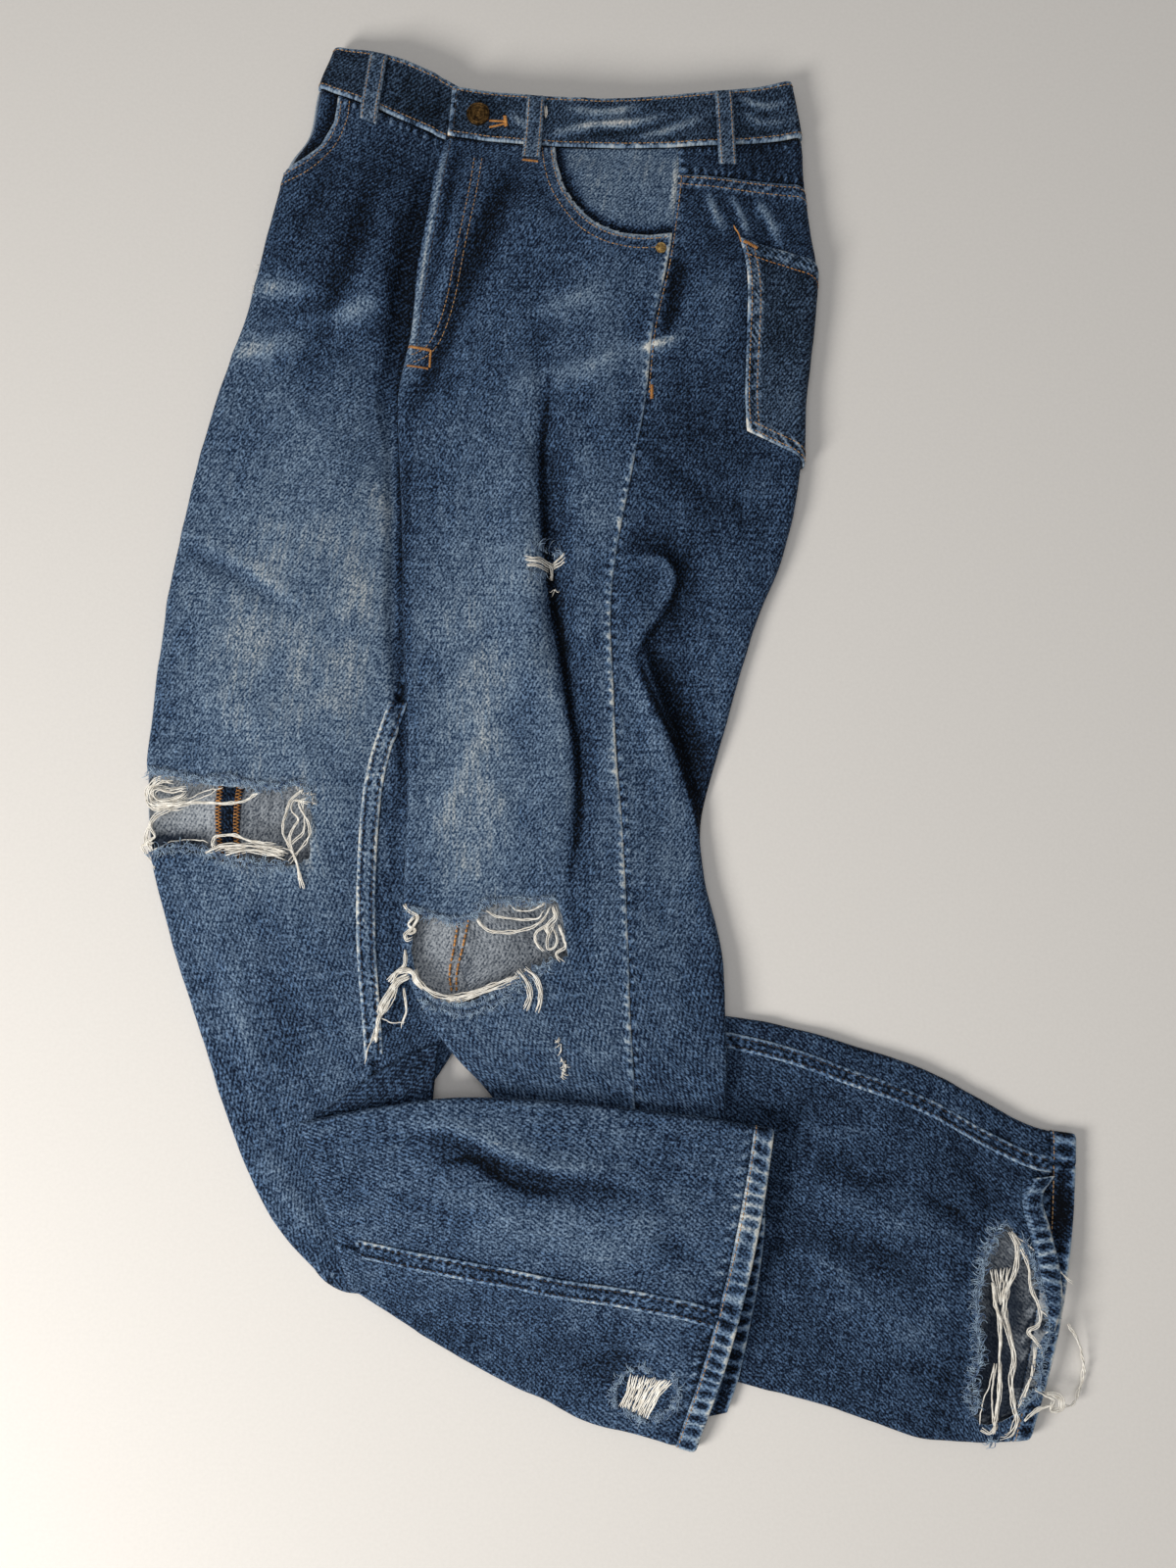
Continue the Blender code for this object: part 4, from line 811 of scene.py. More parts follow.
def denim(name, warp, weft, slant, cover):
    """Twill on a piece's own weave coordinates, in millimetres. warp and weft list colours from dark
    to faded, and cover is how much the warp hides the weft."""
    material, tree, principled = new_material(
        name, Roughness=0.88, Specular_IOR_Level=0.12, Sheen_Weight=0.03, Sheen_Roughness=0.4)
    weave = add(tree, "ShaderNodeUVMap", uv_map="weave").outputs["UV"]
    fade_and_shade = add(tree, "ShaderNodeAttribute", attribute_name="fade_and_shade").outputs["Fac"]
    wear = add(tree, "ShaderNodeAttribute", attribute_name="wear").outputs["Fac"]

    def scaled(across_mm, along_mm):
        """The weave's coordinates, counted in cells of this size."""
        return add(tree, "ShaderNodeMapping", {
            "Vector": weave, "Scale": (1 / across_mm, 1 / along_mm, 1)}).outputs["Vector"]

    def cells(across_mm, along_mm, detail=0.0):
        """Smooth noise in cells of this size."""
        return add(tree, "ShaderNodeTexNoise", {
            "Vector": scaled(across_mm, along_mm), "Scale": 1.0, "Detail": detail},
            noise_dimensions="2D").outputs["Fac"]

    def plus(a, b, amount):
        """a plus b times amount."""
        return add(tree, "ShaderNodeMath", {0: b, 1: amount, 2: a}, operation="MULTIPLY_ADD").outputs[0]

    def mix(a, *layers):
        """a plus layers that are about 0.5 each, by their amounts, so that its mean stays."""
        for b, amount in layers:
            a = plus(a, plus(-0.5 * amount, b, amount), 1.0)
        return a

    def ramp(factor, colours):
        """A colour between evenly spaced ones."""
        node = add(tree, "ShaderNodeValToRGB", {"Fac": factor})
        elements = node.color_ramp.elements
        while len(elements) < len(colours):
            elements.new(0.5)
        for i, code in enumerate(colours):
            elements[i].position = i / (len(colours) - 1)
            elements[i].color = rgb(code)
        return node.outputs["Color"]

    turned = add(tree, "ShaderNodeMapping", {"Vector": weave, "Rotation": (0, 0, -slant)})
    twill = add(tree, "ShaderNodeTexWave", {
        "Vector": turned.outputs["Vector"], "Scale": 2 * math.pi / (WAVE_RADIANS * TWILL_PITCH),
        "Distortion": 1.6, "Detail": 1.0, "Detail Scale": 1.5}, wave_type="BANDS", bands_direction="X")
    floats = cells(1.6, 2.2)  # a stretch of warp that floats over the weft
    dots = add(tree, "ShaderNodeTexVoronoi", {"Vector": scaled(1.4, 1.7), "Scale": 1.0},
               voronoi_dimensions="2D").outputs["Color"]  # floats that differ from their neighbours
    grit = cells(1.2, 1.2)  # the fuzz of the yarns
    slub = cells(2.0, 42.0)  # thick stretches of single warp yarns
    pick = cells(30.0, 1.9)  # thick stretches of single weft yarns
    blotch = cells(7.0, 10.0, 3.0)
    cloud = cells(24.0, 34.0, 2.0)  # uneven washing

    show = mix(0.5, (twill.outputs["Fac"], 0.22), (floats, 0.5), (dots, 0.3), (grit, 0.6), (pick, 0.15),
               (blotch, 0.15))
    show = plus(plus(show, wear, 0.55), fade_and_shade, 0.3)
    mask = add(tree, "ShaderNodeMapRange", {
        "Value": show, "From Min": cover - 0.45, "From Max": cover + 0.45}, interpolation_type="SMOOTHSTEP")
    tone = plus(mix(fade_and_shade, (slub, 0.25), (cloud, 0.32), (blotch, 0.18)), wear, 0.6)
    cloth = add(tree, "ShaderNodeMix", {
        "Factor": mask.outputs["Result"], "A": ramp(tone, warp), "B": ramp(tone, weft)}, data_type="RGBA")
    bump = add(tree, "ShaderNodeBump", {"Height": show, "Strength": 0.8, "Distance": 0.0003})
    tree.links.new(cloth.outputs["Result"], principled.inputs["Base Color"])
    tree.links.new(bump.outputs["Normal"], principled.inputs["Normal"])
    return material


DENIM = denim(
    "rigid_indigo_twill", ("#01040a", "#051125", "#16304f", "#3d5a73"),
    ("#385479", "#6787ae", "#95abbf", "#dedfd8"), TWILL_TURN, 0.80)
WRONG_SIDE = denim(
    "twill_wrong_side", ("#1a2331", "#2a3646", "#3d4b5c", "#556373"),
    ("#414a56", "#a6adb4", "#bdc3c8", "#d2d5d6"), -TWILL_TURN, 0.55)
BAND_DENIM = denim(
    "washed_band_twill", ("#02050a", "#071324", "#1b2f48", "#425b74"),
    ("#3d5877", "#6c88a9", "#9baebe", "#dfddd6"), TWILL_TURN, 0.80)
print("denim made, twill every", TWILL_PITCH, "mm")
TORN, tree, principled = new_material("torn_yarn_ends", Roughness=0.9, Specular_IOR_Level=0.15)
mottle(tree, principled, 900.0, "#4c617c", "#b9c4cc")

# %% [markdown]
# ## From a stretch of tube to a cloth shell
# A sheet is a grid of points with a way out at each. Relief moves the grid along that way on the
# upper layer only, because the underside lies flat on the table. The shell gives the grid its
# thickness, with a rounded rim, and it thins towards a torn edge. Modifiers could thicken a sheet
# too, but a rim made here can be rounded, and frayed only where it is torn.

# %% Grids
COARSE = 1.0
PITCH = 2.5 * COARSE  # mm between the points of a grid, on the upper layer
ROUND_PITCH = 1.7 * COARSE  # round an outline
HIDDEN_PITCH = 7.0  # underneath


def rows_of(edge, shares):
    """The rows of a grid's start or end, which is one row, or a function of the share across."""
    return np.array([edge(share) if callable(edge) else float(edge) for share in shares])


def lay(leg, start, end, marks, steps, pitch=PITCH):
    """A grid along a leg. marks(v) gives the turns that the steps, in millimetres, divide."""
    (low_row,), (high_row,) = rows_of(start, [0.5]), rows_of(end, [0.5])
    middle = np.linspace(low_row, high_row, 9)
    widths = np.diff(np.array([np.broadcast_to(m, middle.shape) for m in marks(middle)]), axis=0)
    counts = [max(1, math.ceil(abs(width).max() / step)) for width, step in zip(widths, steps)]
    t = np.concatenate([k + np.arange(n) / n for k, n in enumerate(counts)] + [[len(counts)]])
    first, last = (rows_of(edge, t / len(counts)) for edge in (start, end))
    low, high = leg.along(low_row), leg.along(high_row)
    spaced = np.linspace(low, high, max(2, round((high - low) / pitch) + 1))
    share = (np.interp(spaced, leg.lengths, leg.rows) - low_row) / (high_row - low_row)
    v = first + (last - first) * share[:, None]
    turns = np.array([np.broadcast_to(m, v.shape) for m in marks(v)])
    i = np.minimum(t.astype(int), len(counts) - 1)
    column = np.arange(len(t))
    turn = turns[i, :, column].T + (turns[i + 1, :, column] - turns[i, :, column]).T * (t - i)
    return {
        "P": leg.point(turn, v), "N": leg.normal(turn, v), "turn": turn, "v": v, "leg": leg,
        "weave": np.stack((turn * leg.upright, leg.along(v)), -1),
        "beside": (turn - turn[:, :1], turn[:, -1:] - turn,
                   leg.along(v) - leg.along(v[:1]), leg.along(v[-1:]) - leg.along(v)),
    }


def upward(*shape):
    """The way straight up, for every point of a grid of this shape."""
    ways = np.zeros((*shape, 3))
    ways[..., 2] = 1
    return ways


def torn_distance(outline, x, y, ragged, seed):
    """How far outside a torn outline each place is. Below 0 is inside."""
    points = np.array(outline, float)
    if ragged:
        loop = np.concatenate((points[-2:], points, points[:2]))
        points = through(loop, np.arange(2, 2 + len(points), 0.25))
    nearest = np.full(x.shape, 1e9)
    inside = np.zeros(x.shape, bool)
    for a, b in zip(points, np.roll(points, -1, axis=0)):
        run = b - a
        s = np.clip(((x - a[0]) * run[0] + (y - a[1]) * run[1]) / (run @ run + 1e-9), 0, 1)
        nearest = np.minimum(nearest, np.hypot(x - a[0] - s * run[0], y - a[1] - s * run[1]))
        if a[1] != b[1]:
            inside ^= ((a[1] > y) != (b[1] > y)) & (x < a[0] + (y - a[1]) * run[0] / run[1])
    waves = noise(x / 7, y / 7, seed) + 0.6 * noise(x / 2.5, y / 2.5, seed + 1)
    return np.where(inside, -nearest, nearest) + ragged * waves


def make_mesh(name, points, quads, materials, index=None, uv=None, values=None):
    """One smooth mesh from points in millimetres and quads. values are numbers on the points."""
    mesh = bpy.data.meshes.new(name)
    mesh.vertices.add(len(points))
    mesh.vertices.foreach_set("co", (np.asarray(points) * MM).astype(np.float32).ravel())
    mesh.loops.add(4 * len(quads))
    mesh.loops.foreach_set("vertex_index", quads.astype(np.int32).ravel())
    mesh.polygons.add(len(quads))
    mesh.polygons.foreach_set("loop_start", np.arange(0, 4 * len(quads), 4, dtype=np.int32))
    if index is not None:
        mesh.polygons.foreach_set("material_index", index.astype(np.int32))
    for material in materials:
        mesh.materials.append(material)
    mesh.update(calc_edges=True)
    mesh.shade_smooth()
    if uv is not None:
        layer = mesh.uv_layers.new(name="weave")
        layer.data.foreach_set("uv", uv[quads.ravel()].astype(np.float32).ravel())
    for key, numbers in (values or {}).items():
        mesh.attributes.new(key, "FLOAT", "POINT").data.foreach_set("value", numbers.astype(np.float32))
    thing = bpy.data.objects.new(name, mesh)
    scene.collection.objects.link(thing)
    return thing


NOT_TORN = 1e3
TORN_RIM = 1.5  # a rim nearer than this to a hole shows torn yarn ends


def shell(name, outer, inner, torn, weave, fade_and_shade, wear, fabric=DENIM):
    """A closed cloth shell between two grids of points. torn is the distance from a hole."""
    rows, columns = outer.shape[:2]
    spot = np.arange(rows * columns).reshape(rows, columns)
    quads = np.stack((spot[:-1, :-1], spot[1:, :-1], spot[1:, 1:], spot[:-1, 1:]), -1).reshape(-1, 4)
    facing = np.cross(outer[1:, :-1] - outer[:-1, :-1], outer[:-1, 1:] - outer[:-1, :-1])
    if (facing * (outer - inner)[:-1, :-1]).sum() < 0:
        quads = quads[:, ::-1]
    quads = quads[torn.ravel()[quads].mean(1) > 0]
    starts, ends = quads, np.roll(quads, -1, axis=1)
    key, mirrored = starts * outer[..., 0].size + ends, ends * outer[..., 0].size + starts
    rim = ~np.isin(key, mirrored)
    a, b = starts[rim], ends[rim]
    flat_outer, flat_inner = outer.reshape(-1, 3), inner.reshape(-1, 3)
    thickness = np.linalg.norm(flat_outer - flat_inner, axis=1)
    way = unit(flat_outer - flat_inner + 1e-9)
    push = np.cross(flat_outer[b] - flat_outer[a], way[a])
    push = push / (np.linalg.norm(push, axis=1, keepdims=True) + 1e-9)
    outward = np.zeros_like(flat_outer)
    np.add.at(outward, a, push)
    np.add.at(outward, b, push)
    outward = outward / (np.linalg.norm(outward, axis=1, keepdims=True) + 1e-9)
    middle = (flat_outer + flat_inner) / 2 + outward * thickness[:, None] * 0.35
    count = len(flat_outer)
    faces = np.concatenate((
        quads, quads[:, ::-1] + count,
        np.stack((b, a, a + 2 * count, b + 2 * count), -1),
        np.stack((b + 2 * count, a + 2 * count, a + count, b + count), -1)))
    edge_slot = np.where(torn.ravel()[a] < TORN_RIM, 2, 0)
    slots = np.concatenate((np.zeros(len(quads)), np.ones(len(quads)), edge_slot, edge_slot))
    used, packed = np.unique(faces, return_inverse=True)
    points = np.concatenate((flat_outer, flat_inner, middle))[used]
    flat_weave = np.concatenate([weave.reshape(-1, 2)] * 3)[used]
    painted = {"fade_and_shade": fade_and_shade, "wear": wear}
    numbers = {key: np.concatenate([value.ravel()] * 3)[used] for key, value in painted.items()}
    materials = (fabric, WRONG_SIDE, TORN)
    return make_mesh(name, points, packed.reshape(faces.shape), materials, slots, flat_weave, numbers)


def patch(name, middle, half, weave, fade_and_shade, wear):
    """A level bit of cloth that no solid stands for. half is half its thickness."""
    ways = upward(*middle.shape[:2]) * half
    torn = np.full(middle.shape[:2], NOT_TORN)
    piece = shell(name, middle + ways, middle - ways, torn, weave, fade_and_shade, wear)
    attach(piece, "root")
    print(f"{name}: {len(piece.data.polygons)} faces")


# %% Dressing one piece
WASHED = ("waistband", "belt_loop", "back_pocket")
cloth_pieces = {}
cloth_grids = {}


CALF_EDGE_Y = -262  # the calves cover the left leg from here on, a little lower further right


def upper_side(leg, turn, v, x, y):
    """1 on the upper layer, fading to 0 round the outlines and where something lies on it."""
    el, er = leg.edges(v)
    raised = smooth(0.5 + turn / (1.2 * el)) * smooth(0.5 + (leg.half_turn(v) - turn) / (1.2 * er))
    if leg is RIGHT:
        left_leg_begins = read_column(LEFT_LEG, LEFT_Y, LEFT_X, y)
        raised = raised * smooth((left_leg_begins - 6 - x) / 8)
    if leg is LEFT:
        raised = raised * smooth((y - CALF_EDGE_Y + 0.1 * x) / 16)
    return raised


def dress(name, grid, edges, tone, thick=CLOTH, shift=0.0, holes=(), flat=False, seed=1,
          wear_base=0.0, under=None):
    """Makes the cloth piece that stands for a solid. edges are the kinds of its four sides, and
    under is the opening that it is seen through; painted shade darkens it inside that opening's edge."""
    P, N, turn, v = grid["P"], grid["N"], grid["turn"], grid["v"]
    x, y = P[..., 0], P[..., 1]
    fade_and_shade = np.full(x.shape, float(tone))
    wear = np.zeros(x.shape) + wear_base
    both = np.zeros(x.shape)  # relief of both faces of the cloth
    front = np.zeros(x.shape)  # relief of its outer face alone
    if not flat:
        leg = grid["leg"]
        raised = upper_side(leg, turn, v, x, y)
        height, paling_and_shade = crease_relief(leg.name, x, y)
        waves = 0.55 * noise(x / 21, y / 30, seed) + 0.3 * noise(x / 9, y / 12, seed + 5)
        both = (height + waves) * raised
        fade_and_shade = fade_and_shade + ovals(FADE_AND_SHADE[leg.name], x, y) + paling_and_shade + 0.05 * both
        fade_and_shade = fade_and_shade + 0.05 * noise(x / 26, y / 34, seed + 7)
        wear = wear + 0.5 * np.maximum(0, paling_and_shade)
        alongs = (grid["weave"][..., 1],) * 2 + (turn,) * 2
        for kind, beside, along in zip(edges, grid["beside"], alongs):
            seed += 11
            rise, worn, shade = edge_relief(kind, beside, along, seed)
            front += rise * raised
            wear += worn
            fade_and_shade += shade
    # Painted shade: these ovals darken the colour and hold back the rubbed paling inside rips and under the
    # curled hem.
    dark = ovals(SHADED.get(name, ()), x, y)
    fade_and_shade, wear = fade_and_shade + dark, wear * np.exp(4 * dark)
    torn = np.full(x.shape, NOT_TORN)
    ragged_torn = torn
    for outline, ragged in holes:
        def beyond(dx=0.0, dy=0.0):
            return torn_distance(outline, x + dx, y + dy, ragged, seed)

        open_here = (turn > -2) & (turn < np.asarray(grid["leg"].half_turn(v)) + 2)
        distance = np.where(open_here, beyond(), NOT_TORN)
        step = 0.4  # mm, over which the way out of the hole is measured
        slope = np.stack((beyond(step) - beyond(-step), beyond(0, step) - beyond(0, -step)), -1) / (2 * step)
        slope = slope / (np.linalg.norm(slope, axis=-1, keepdims=True) + 1e-6)
        near = abs(distance) < 0.55 * PITCH
        P[..., :2] = P[..., :2] - np.where(near, distance, 0)[..., None] * slope  # onto the outline
        distance = np.where(near, 0.01, distance)
        torn = np.minimum(torn, distance)
        if ragged:
            ragged_torn = np.minimum(ragged_torn, distance)
            wear = wear + 0.3 * np.exp(-np.maximum(0, distance) / 3.0) * (0.7 + 0.5 * noise(x / 4, y / 4, 3))
            both = both + 0.6 * noise(x / 9, y / 9, 8) * np.exp(-np.maximum(0, distance) / 14) * raised
        else:
            wear = wear + 0.85 * np.exp(-((distance - 0.5) / 1.8) ** 2)
            front = front + 0.5 * smooth((11 - distance) / 2)
    # Painted shadow: the cloth seen through an opening darkens within a few mm of its edge.
    if under is not None:
        inset = -np.minimum(0, torn_distance(under, x, y, 0, seed))
        fade_and_shade = fade_and_shade - 0.9 * np.exp(-(inset / 6) ** 2)
    half = thick / 2 * (0.35 + 0.65 * smooth(ragged_torn / 4))
    outer = P + N * (shift + both + front + half)[..., None]
    inner = P + N * (shift + both - half)[..., None]
    fabric = BAND_DENIM if name.startswith(WASHED) else DENIM
    piece = shell(name + "_cloth", outer, inner, torn, grid["weave"], fade_and_shade, wear, fabric)
    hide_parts(name)
    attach(piece, "root")
    cloth_pieces[name] = piece
    grid["outer"] = outer
    cloth_grids[name] = grid


# %% [markdown]
# ## The right leg
# The front panel wraps round the left outline and runs under the left leg. The back panel lies on
# the table and turns up at the inseam, where a double-stitched seam joins them.

# %% Rips and pocket mouths
# Outlines seen from above. They run on past a panel's edge where the opening does.
RIGHT_KNEE_RIP = (
    (-345, -36), (-309, -38), (-273, -47), (-239, -48), (-211, -47), (-206, -60),
    (-206, -85), (-211, -101), (-256, -102), (-288, -93), (-318, -95), (-345, -96),
)
LEFT_KNEE_RIP = (
    (-133, -136), (-109, -140), (-90, -137), (-83, -129), (-48, -125), (-35, -128), (-28, -155),
    (-31, -166), (-60, -176), (-89, -193), (-112, -195), (-128, -182), (-134, -160),
)
LEFT_HEM_RIP = (
    (269, -346), (255, -362), (248, -395), (250, -424), (243, -452), (247, -474),
    (268, -474), (289, -448), (288, -431), (297, -405), (289, -379), (279, -355),
)
LEFT_POCKET_MOUTH = (
    (-39, 425), (-36, 396), (-31, 378), (-20, 360), (-8, 349), (8, 343), (30, 342), (55, 345), (60, 425),
)
RIGHT_POCKET_MOUTH = (
    (-193, 480), (-194, 450), (-196, 433), (-206, 415), (-229, 399), (-260, 392), (-260, 480),
)


RIPS = (RIGHT_KNEE_RIP, LEFT_KNEE_RIP, LEFT_HEM_RIP)
print("rips in mm:", [np.ptp(rip, axis=0).tolist() for rip in RIPS])

# %% Stretches of a leg
# A stretch is the marks round a leg, as functions of the row, with the steps between them.
TO_RIGHT = (PITCH, ROUND_PITCH, HIDDEN_PITCH)
FROM_LEFT = TO_RIGHT[::-1]
FELL_STEP = 1.2


def rounds(leg, v):
    """The turns where each round edge begins and ends, from left to right."""
    el, er = leg.edges(v)
    half = leg.half_turn(v)
    return -math.pi * el / 2, math.pi * el / 2, half - math.pi * er / 2, half + math.pi * er / 2


def left_part(leg, under, seam):
    """From below the left outline, up round it and across to a seam."""
    def marks(v):
        low, high, _, _ = rounds(leg, v)
        return leg.under_left(v, under(v)), low, high, leg.top(v, seam(v))
    return marks, FROM_LEFT


def right_part(leg, seam, under):
    """From a seam across to the right outline, and round it to below."""
    def marks(v):
        _, _, high, low = rounds(leg, v)
        return leg.top(v, seam(v)), high, low, leg.under_right(v, under(v))
    return marks, TO_RIGHT


def fell_part(leg, table, narrower=0.0, by_x=False):
    """A felled seam's band, centred on a line given by distance or by x."""
    def marks(v):
        centre = leg.reach(v, through(table, v)) if by_x else through(table, v)
        half = FELL_WIDTH / 2 - narrower
        return leg.top(v, centre - half), leg.top(v, centre + half)
    return marks, (FELL_STEP,)


# %% Right leg
BAND_END = 0.98
PANEL_START, PANEL_END = 1.02, 17.9  # rows: below the band, and short of the fold of the leg
FELL_SHIFT = CLOTH / 2 + LIFT + 0.5
FACING_SHIFT = -CLOTH - SEAM
RIGHT_FACING_END_X, LEFT_FACING_START_X = -178, -52


def right_front_marks(v):
    """Under the left outline, round it and across the front, with a mark where the left leg begins."""
    inner = RIGHT.reach(v, through(RIGHT_FRONT_EDGE_X, v)) - SEAM / 2
    _, left, right, _, _, _ = RIGHT.section(v)
    slope = (right[..., 1] - left[..., 1]) / (right[..., 0] - left[..., 0])
    x = right[..., 0]
    for _ in range(4):
        x = read_column(LEFT_LEG, LEFT_Y, LEFT_X, left[..., 1] + (x - left[..., 0]) * slope)
    tuck = np.minimum(RIGHT.reach(v, x) - TUCK, inner - 4)
    low, high, _, _ = rounds(RIGHT, v)
    under = RIGHT.under_left(v, through(RIGHT_OUTSEAM_UNDER, v) - SEAM / 2)
    return under, low, high, RIGHT.top(v, tuck), RIGHT.top(v, inner)


def right_turn_marks(v):
    """From the inseam across to the right outline and round it."""
    inner = RIGHT.reach(v, through(RIGHT_FRONT_EDGE_X, v)) + SEAM / 2
    _, _, high, under = rounds(RIGHT, v)
    return RIGHT.top(v, inner), RIGHT.top(v, inner + FELL_WIDTH / 2 + 1), high, under


right_facing = left_part(
    RIGHT, lambda v: through(RIGHT_OUTSEAM_UNDER, v) - SEAM / 2 - 2,
    lambda v: RIGHT.reach(v, RIGHT_FACING_END_X))
dress("front_right", lay(RIGHT, PANEL_START, PANEL_END, right_front_marks, (*FROM_LEFT, 3)),
      ("under", "butt", "under", "butt"), 0.4, seed=2,
      holes=((RIGHT_KNEE_RIP, 0.9), (RIGHT_POCKET_MOUTH, 0)))
dress("pocket_facing_right", lay(RIGHT, PANEL_START, 3.3, *right_facing),
      ("plain",) * 4, 0.4, shift=FACING_SHIFT - LIFT, under=RIGHT_POCKET_MOUTH, seed=3)
dress("back_right_turn", lay(RIGHT, 9, 16, right_turn_marks, (PITCH, PITCH, ROUND_PITCH)),
      ("butt", "plain", "plain", "plain"), 0.3, seed=4)
dress("inseam_right", lay(RIGHT, 10, 15, *fell_part(RIGHT, RIGHT_FRONT_EDGE_X, by_x=True)),
      ("fell", "fell", "plain", "plain"), 0.35, thick=1.0, shift=FELL_SHIFT, seed=5,
      wear_base=0.16)


# %% The layer on the table: right back, right yoke and the back of the waistband
BAND_BACK_END = 34  # mm in from the left leg's right outline


def left_under_seam(v):
    """How far in from its right outline the left back ends below: at the centre back, then inseam."""
    return LEFT.width(v) - LEFT.reach(v, through(LEFT_UNDER_SEAM_X, v))


def left_under_turn(v):
    """The turn at that seam."""
    return LEFT.under_right(v, left_under_seam(v))


def seat_point(v, t):
    """A point of the layer on the table, from the right outseam to where the left back begins."""
    _, _, _, width, _, er = RIGHT.section(v)
    outseam = RIGHT.point(RIGHT.under_left(v, through(RIGHT_OUTSEAM_UNDER, v) + SEAM / 2), v)
    inner = RIGHT.point(RIGHT.under_left(v, width - er - SEAM), v)
    seam = LEFT.point(left_under_turn(v), v) - np.array((2 * SEAM, 0, 0))
    high = (v < SEAT_ROW)[..., None]
    inner = np.where(high, seam + (inner - seam) * smooth(v - SEAT_ROW + 1)[..., None], inner)
    spot = outseam + (inner - outseam) * t[..., None]
    spot[..., 1] -= SEAT_SAG * 4 * t * (1 - t) * smooth(3 - v)
    return spot


def table_grid(start, end, extra=None):
    """A grid that lies on the table, right side down. extra runs it on under the left leg, to this
    far from its right outline."""
    rows = np.linspace(start, end, max(3, round((end - start) * 6)))
    t = np.linspace(0, 1, 31)
    v, share = np.meshgrid(rows, t, indexing="ij")
    P = seat_point(v, share)
    if extra is not None:
        start_turn, stop_turn = left_under_turn(rows), LEFT.under_right(rows, extra)
        s = np.linspace(0, 1, 13)[1:]
        turns = start_turn[:, None] + (stop_turn - start_turn)[:, None] * s
        P = np.concatenate((P, LEFT.point(turns, rows[:, None] + 0 * s)), axis=1)
    N = -upward(*P.shape[:2])
    return {"P": P, "N": N, "turn": P[..., 0] * 1.0, "v": P[..., 1] * 1.0, "weave": P[..., :2].copy()}


BACK_START = 1 + YOKE_DROP[2]
ROW_GAP = SEAM / 40  # the same gap, in rows
dress("back_right", table_grid(BACK_START + ROW_GAP, PANEL_END), (), 0.3, flat=True)
dress("yoke_right", table_grid(PANEL_START, BACK_START), (), 0.15, flat=True)
dress("waistband_back", table_grid(0, BAND_END, extra=BAND_BACK_END + SEAM), (), 0.1,
      thick=DOUBLE, flat=True)

# %% [markdown]
# ## The left leg
# It lies on the right leg's inner side. The fly runs along its left outline, the side seam down its
# middle, and the back panel, yoke and back pocket wrap round its right outline.


# %% Left leg
POCKET_TOP = (3.3, 3.9)  # rows at the visible side and at the outline
POCKET_BOTTOM = (6.43, 6.9)
POCKET_LEFT = (54, 40)  # mm in from the outline, at the top and at the bottom
POCKET_UNDER = 52


def side_seam(shift):
    """The seam down the middle of the leg, shifted to its right."""
    return lambda v: LEFT.reach(v, through(LEFT_SIDE_SEAM_X, v)) + shift


def yoke_line(share):
    """The row of the yoke seam, by the share across the back panel."""
    side, outline, centre = YOKE_DROP
    if share < 0.5:
        return 1 + side + (outline - side) * 2 * share
    return 1 + outline + (centre - outline) * (2 * share - 1)


def pocket_inset(v):
    """How far the pocket's side is in from the outline."""
    down = (v - POCKET_TOP[0]) / (POCKET_BOTTOM[0] - POCKET_TOP[0])
    return POCKET_LEFT[0] + (POCKET_LEFT[1] - POCKET_LEFT[0]) * down


def slanted(pair):
    """A row that slants down to the outline and is level from there."""
    return lambda share: pair[0] + (pair[1] - pair[0]) * min(1.0, 2 * share)


def left_facing_marks(v):
    return LEFT.top(v, LEFT.reach(v, LEFT_FACING_START_X)), LEFT.top(v, side_seam(-SEAM)(v))


left_front = left_part(LEFT, lambda v: TURNED, side_seam(-SEAM / 2))
left_back = right_part(LEFT, side_seam(SEAM / 2), left_under_seam)
left_pocket = right_part(LEFT, lambda v: LEFT.width(v) - pocket_inset(v), lambda v: POCKET_UNDER)
dress("front_left", lay(LEFT, PANEL_START, PANEL_END, *left_front),
      ("plain", "lap_narrow", "under", "butt"), 0.34, seed=6,
      holes=((LEFT_KNEE_RIP, 0.9), (LEFT_POCKET_MOUTH, 0)))
dress("pocket_facing_left", lay(LEFT, PANEL_START, 3.9, left_facing_marks, (PITCH,)),
      ("plain",) * 4, 0.6, shift=FACING_SHIFT, under=LEFT_POCKET_MOUTH, seed=7)
dress("back_left", lay(LEFT, lambda share: yoke_line(share) + ROW_GAP, PANEL_END, *left_back),
      ("butt", "plain", "lap", "butt"), 0.3, seed=8)
dress("yoke_left", lay(LEFT, PANEL_START, yoke_line, *left_back),
      ("butt", "plain", "under", "under"), 0.2, seed=9)
dress("back_pocket_left", lay(LEFT, slanted(POCKET_TOP), slanted(POCKET_BOTTOM), *left_pocket),
      ("lap", "plain", "lap", "lap"), 0.25, shift=CLOTH / 2 + POCKET_LIFT + 0.6, seed=10)


# %% Waistband and belt loops
BAND_FRONT_END = 30  # mm in from the right leg's left outline, below
right_band = left_part(
    RIGHT, lambda v: BAND_FRONT_END, lambda v: RIGHT.width(v) - RIGHT.edges(v)[1])
left_band = right_part(LEFT, lambda v: LEFT.edges(v)[0], lambda v: BAND_BACK_END)
dress("waistband_right", lay(RIGHT, 0, BAND_END, *right_band, 1.6 * COARSE),
      ("plain", "plain", "band", "band"), 0.18, thick=DOUBLE, seed=11, wear_base=0.05)
dress("waistband_left", lay(LEFT, 0, BAND_END, *left_band, 1.6 * COARSE),
      ("band", "plain", "band", "band"), 0.2, thick=DOUBLE, seed=12, wear_base=0.05)

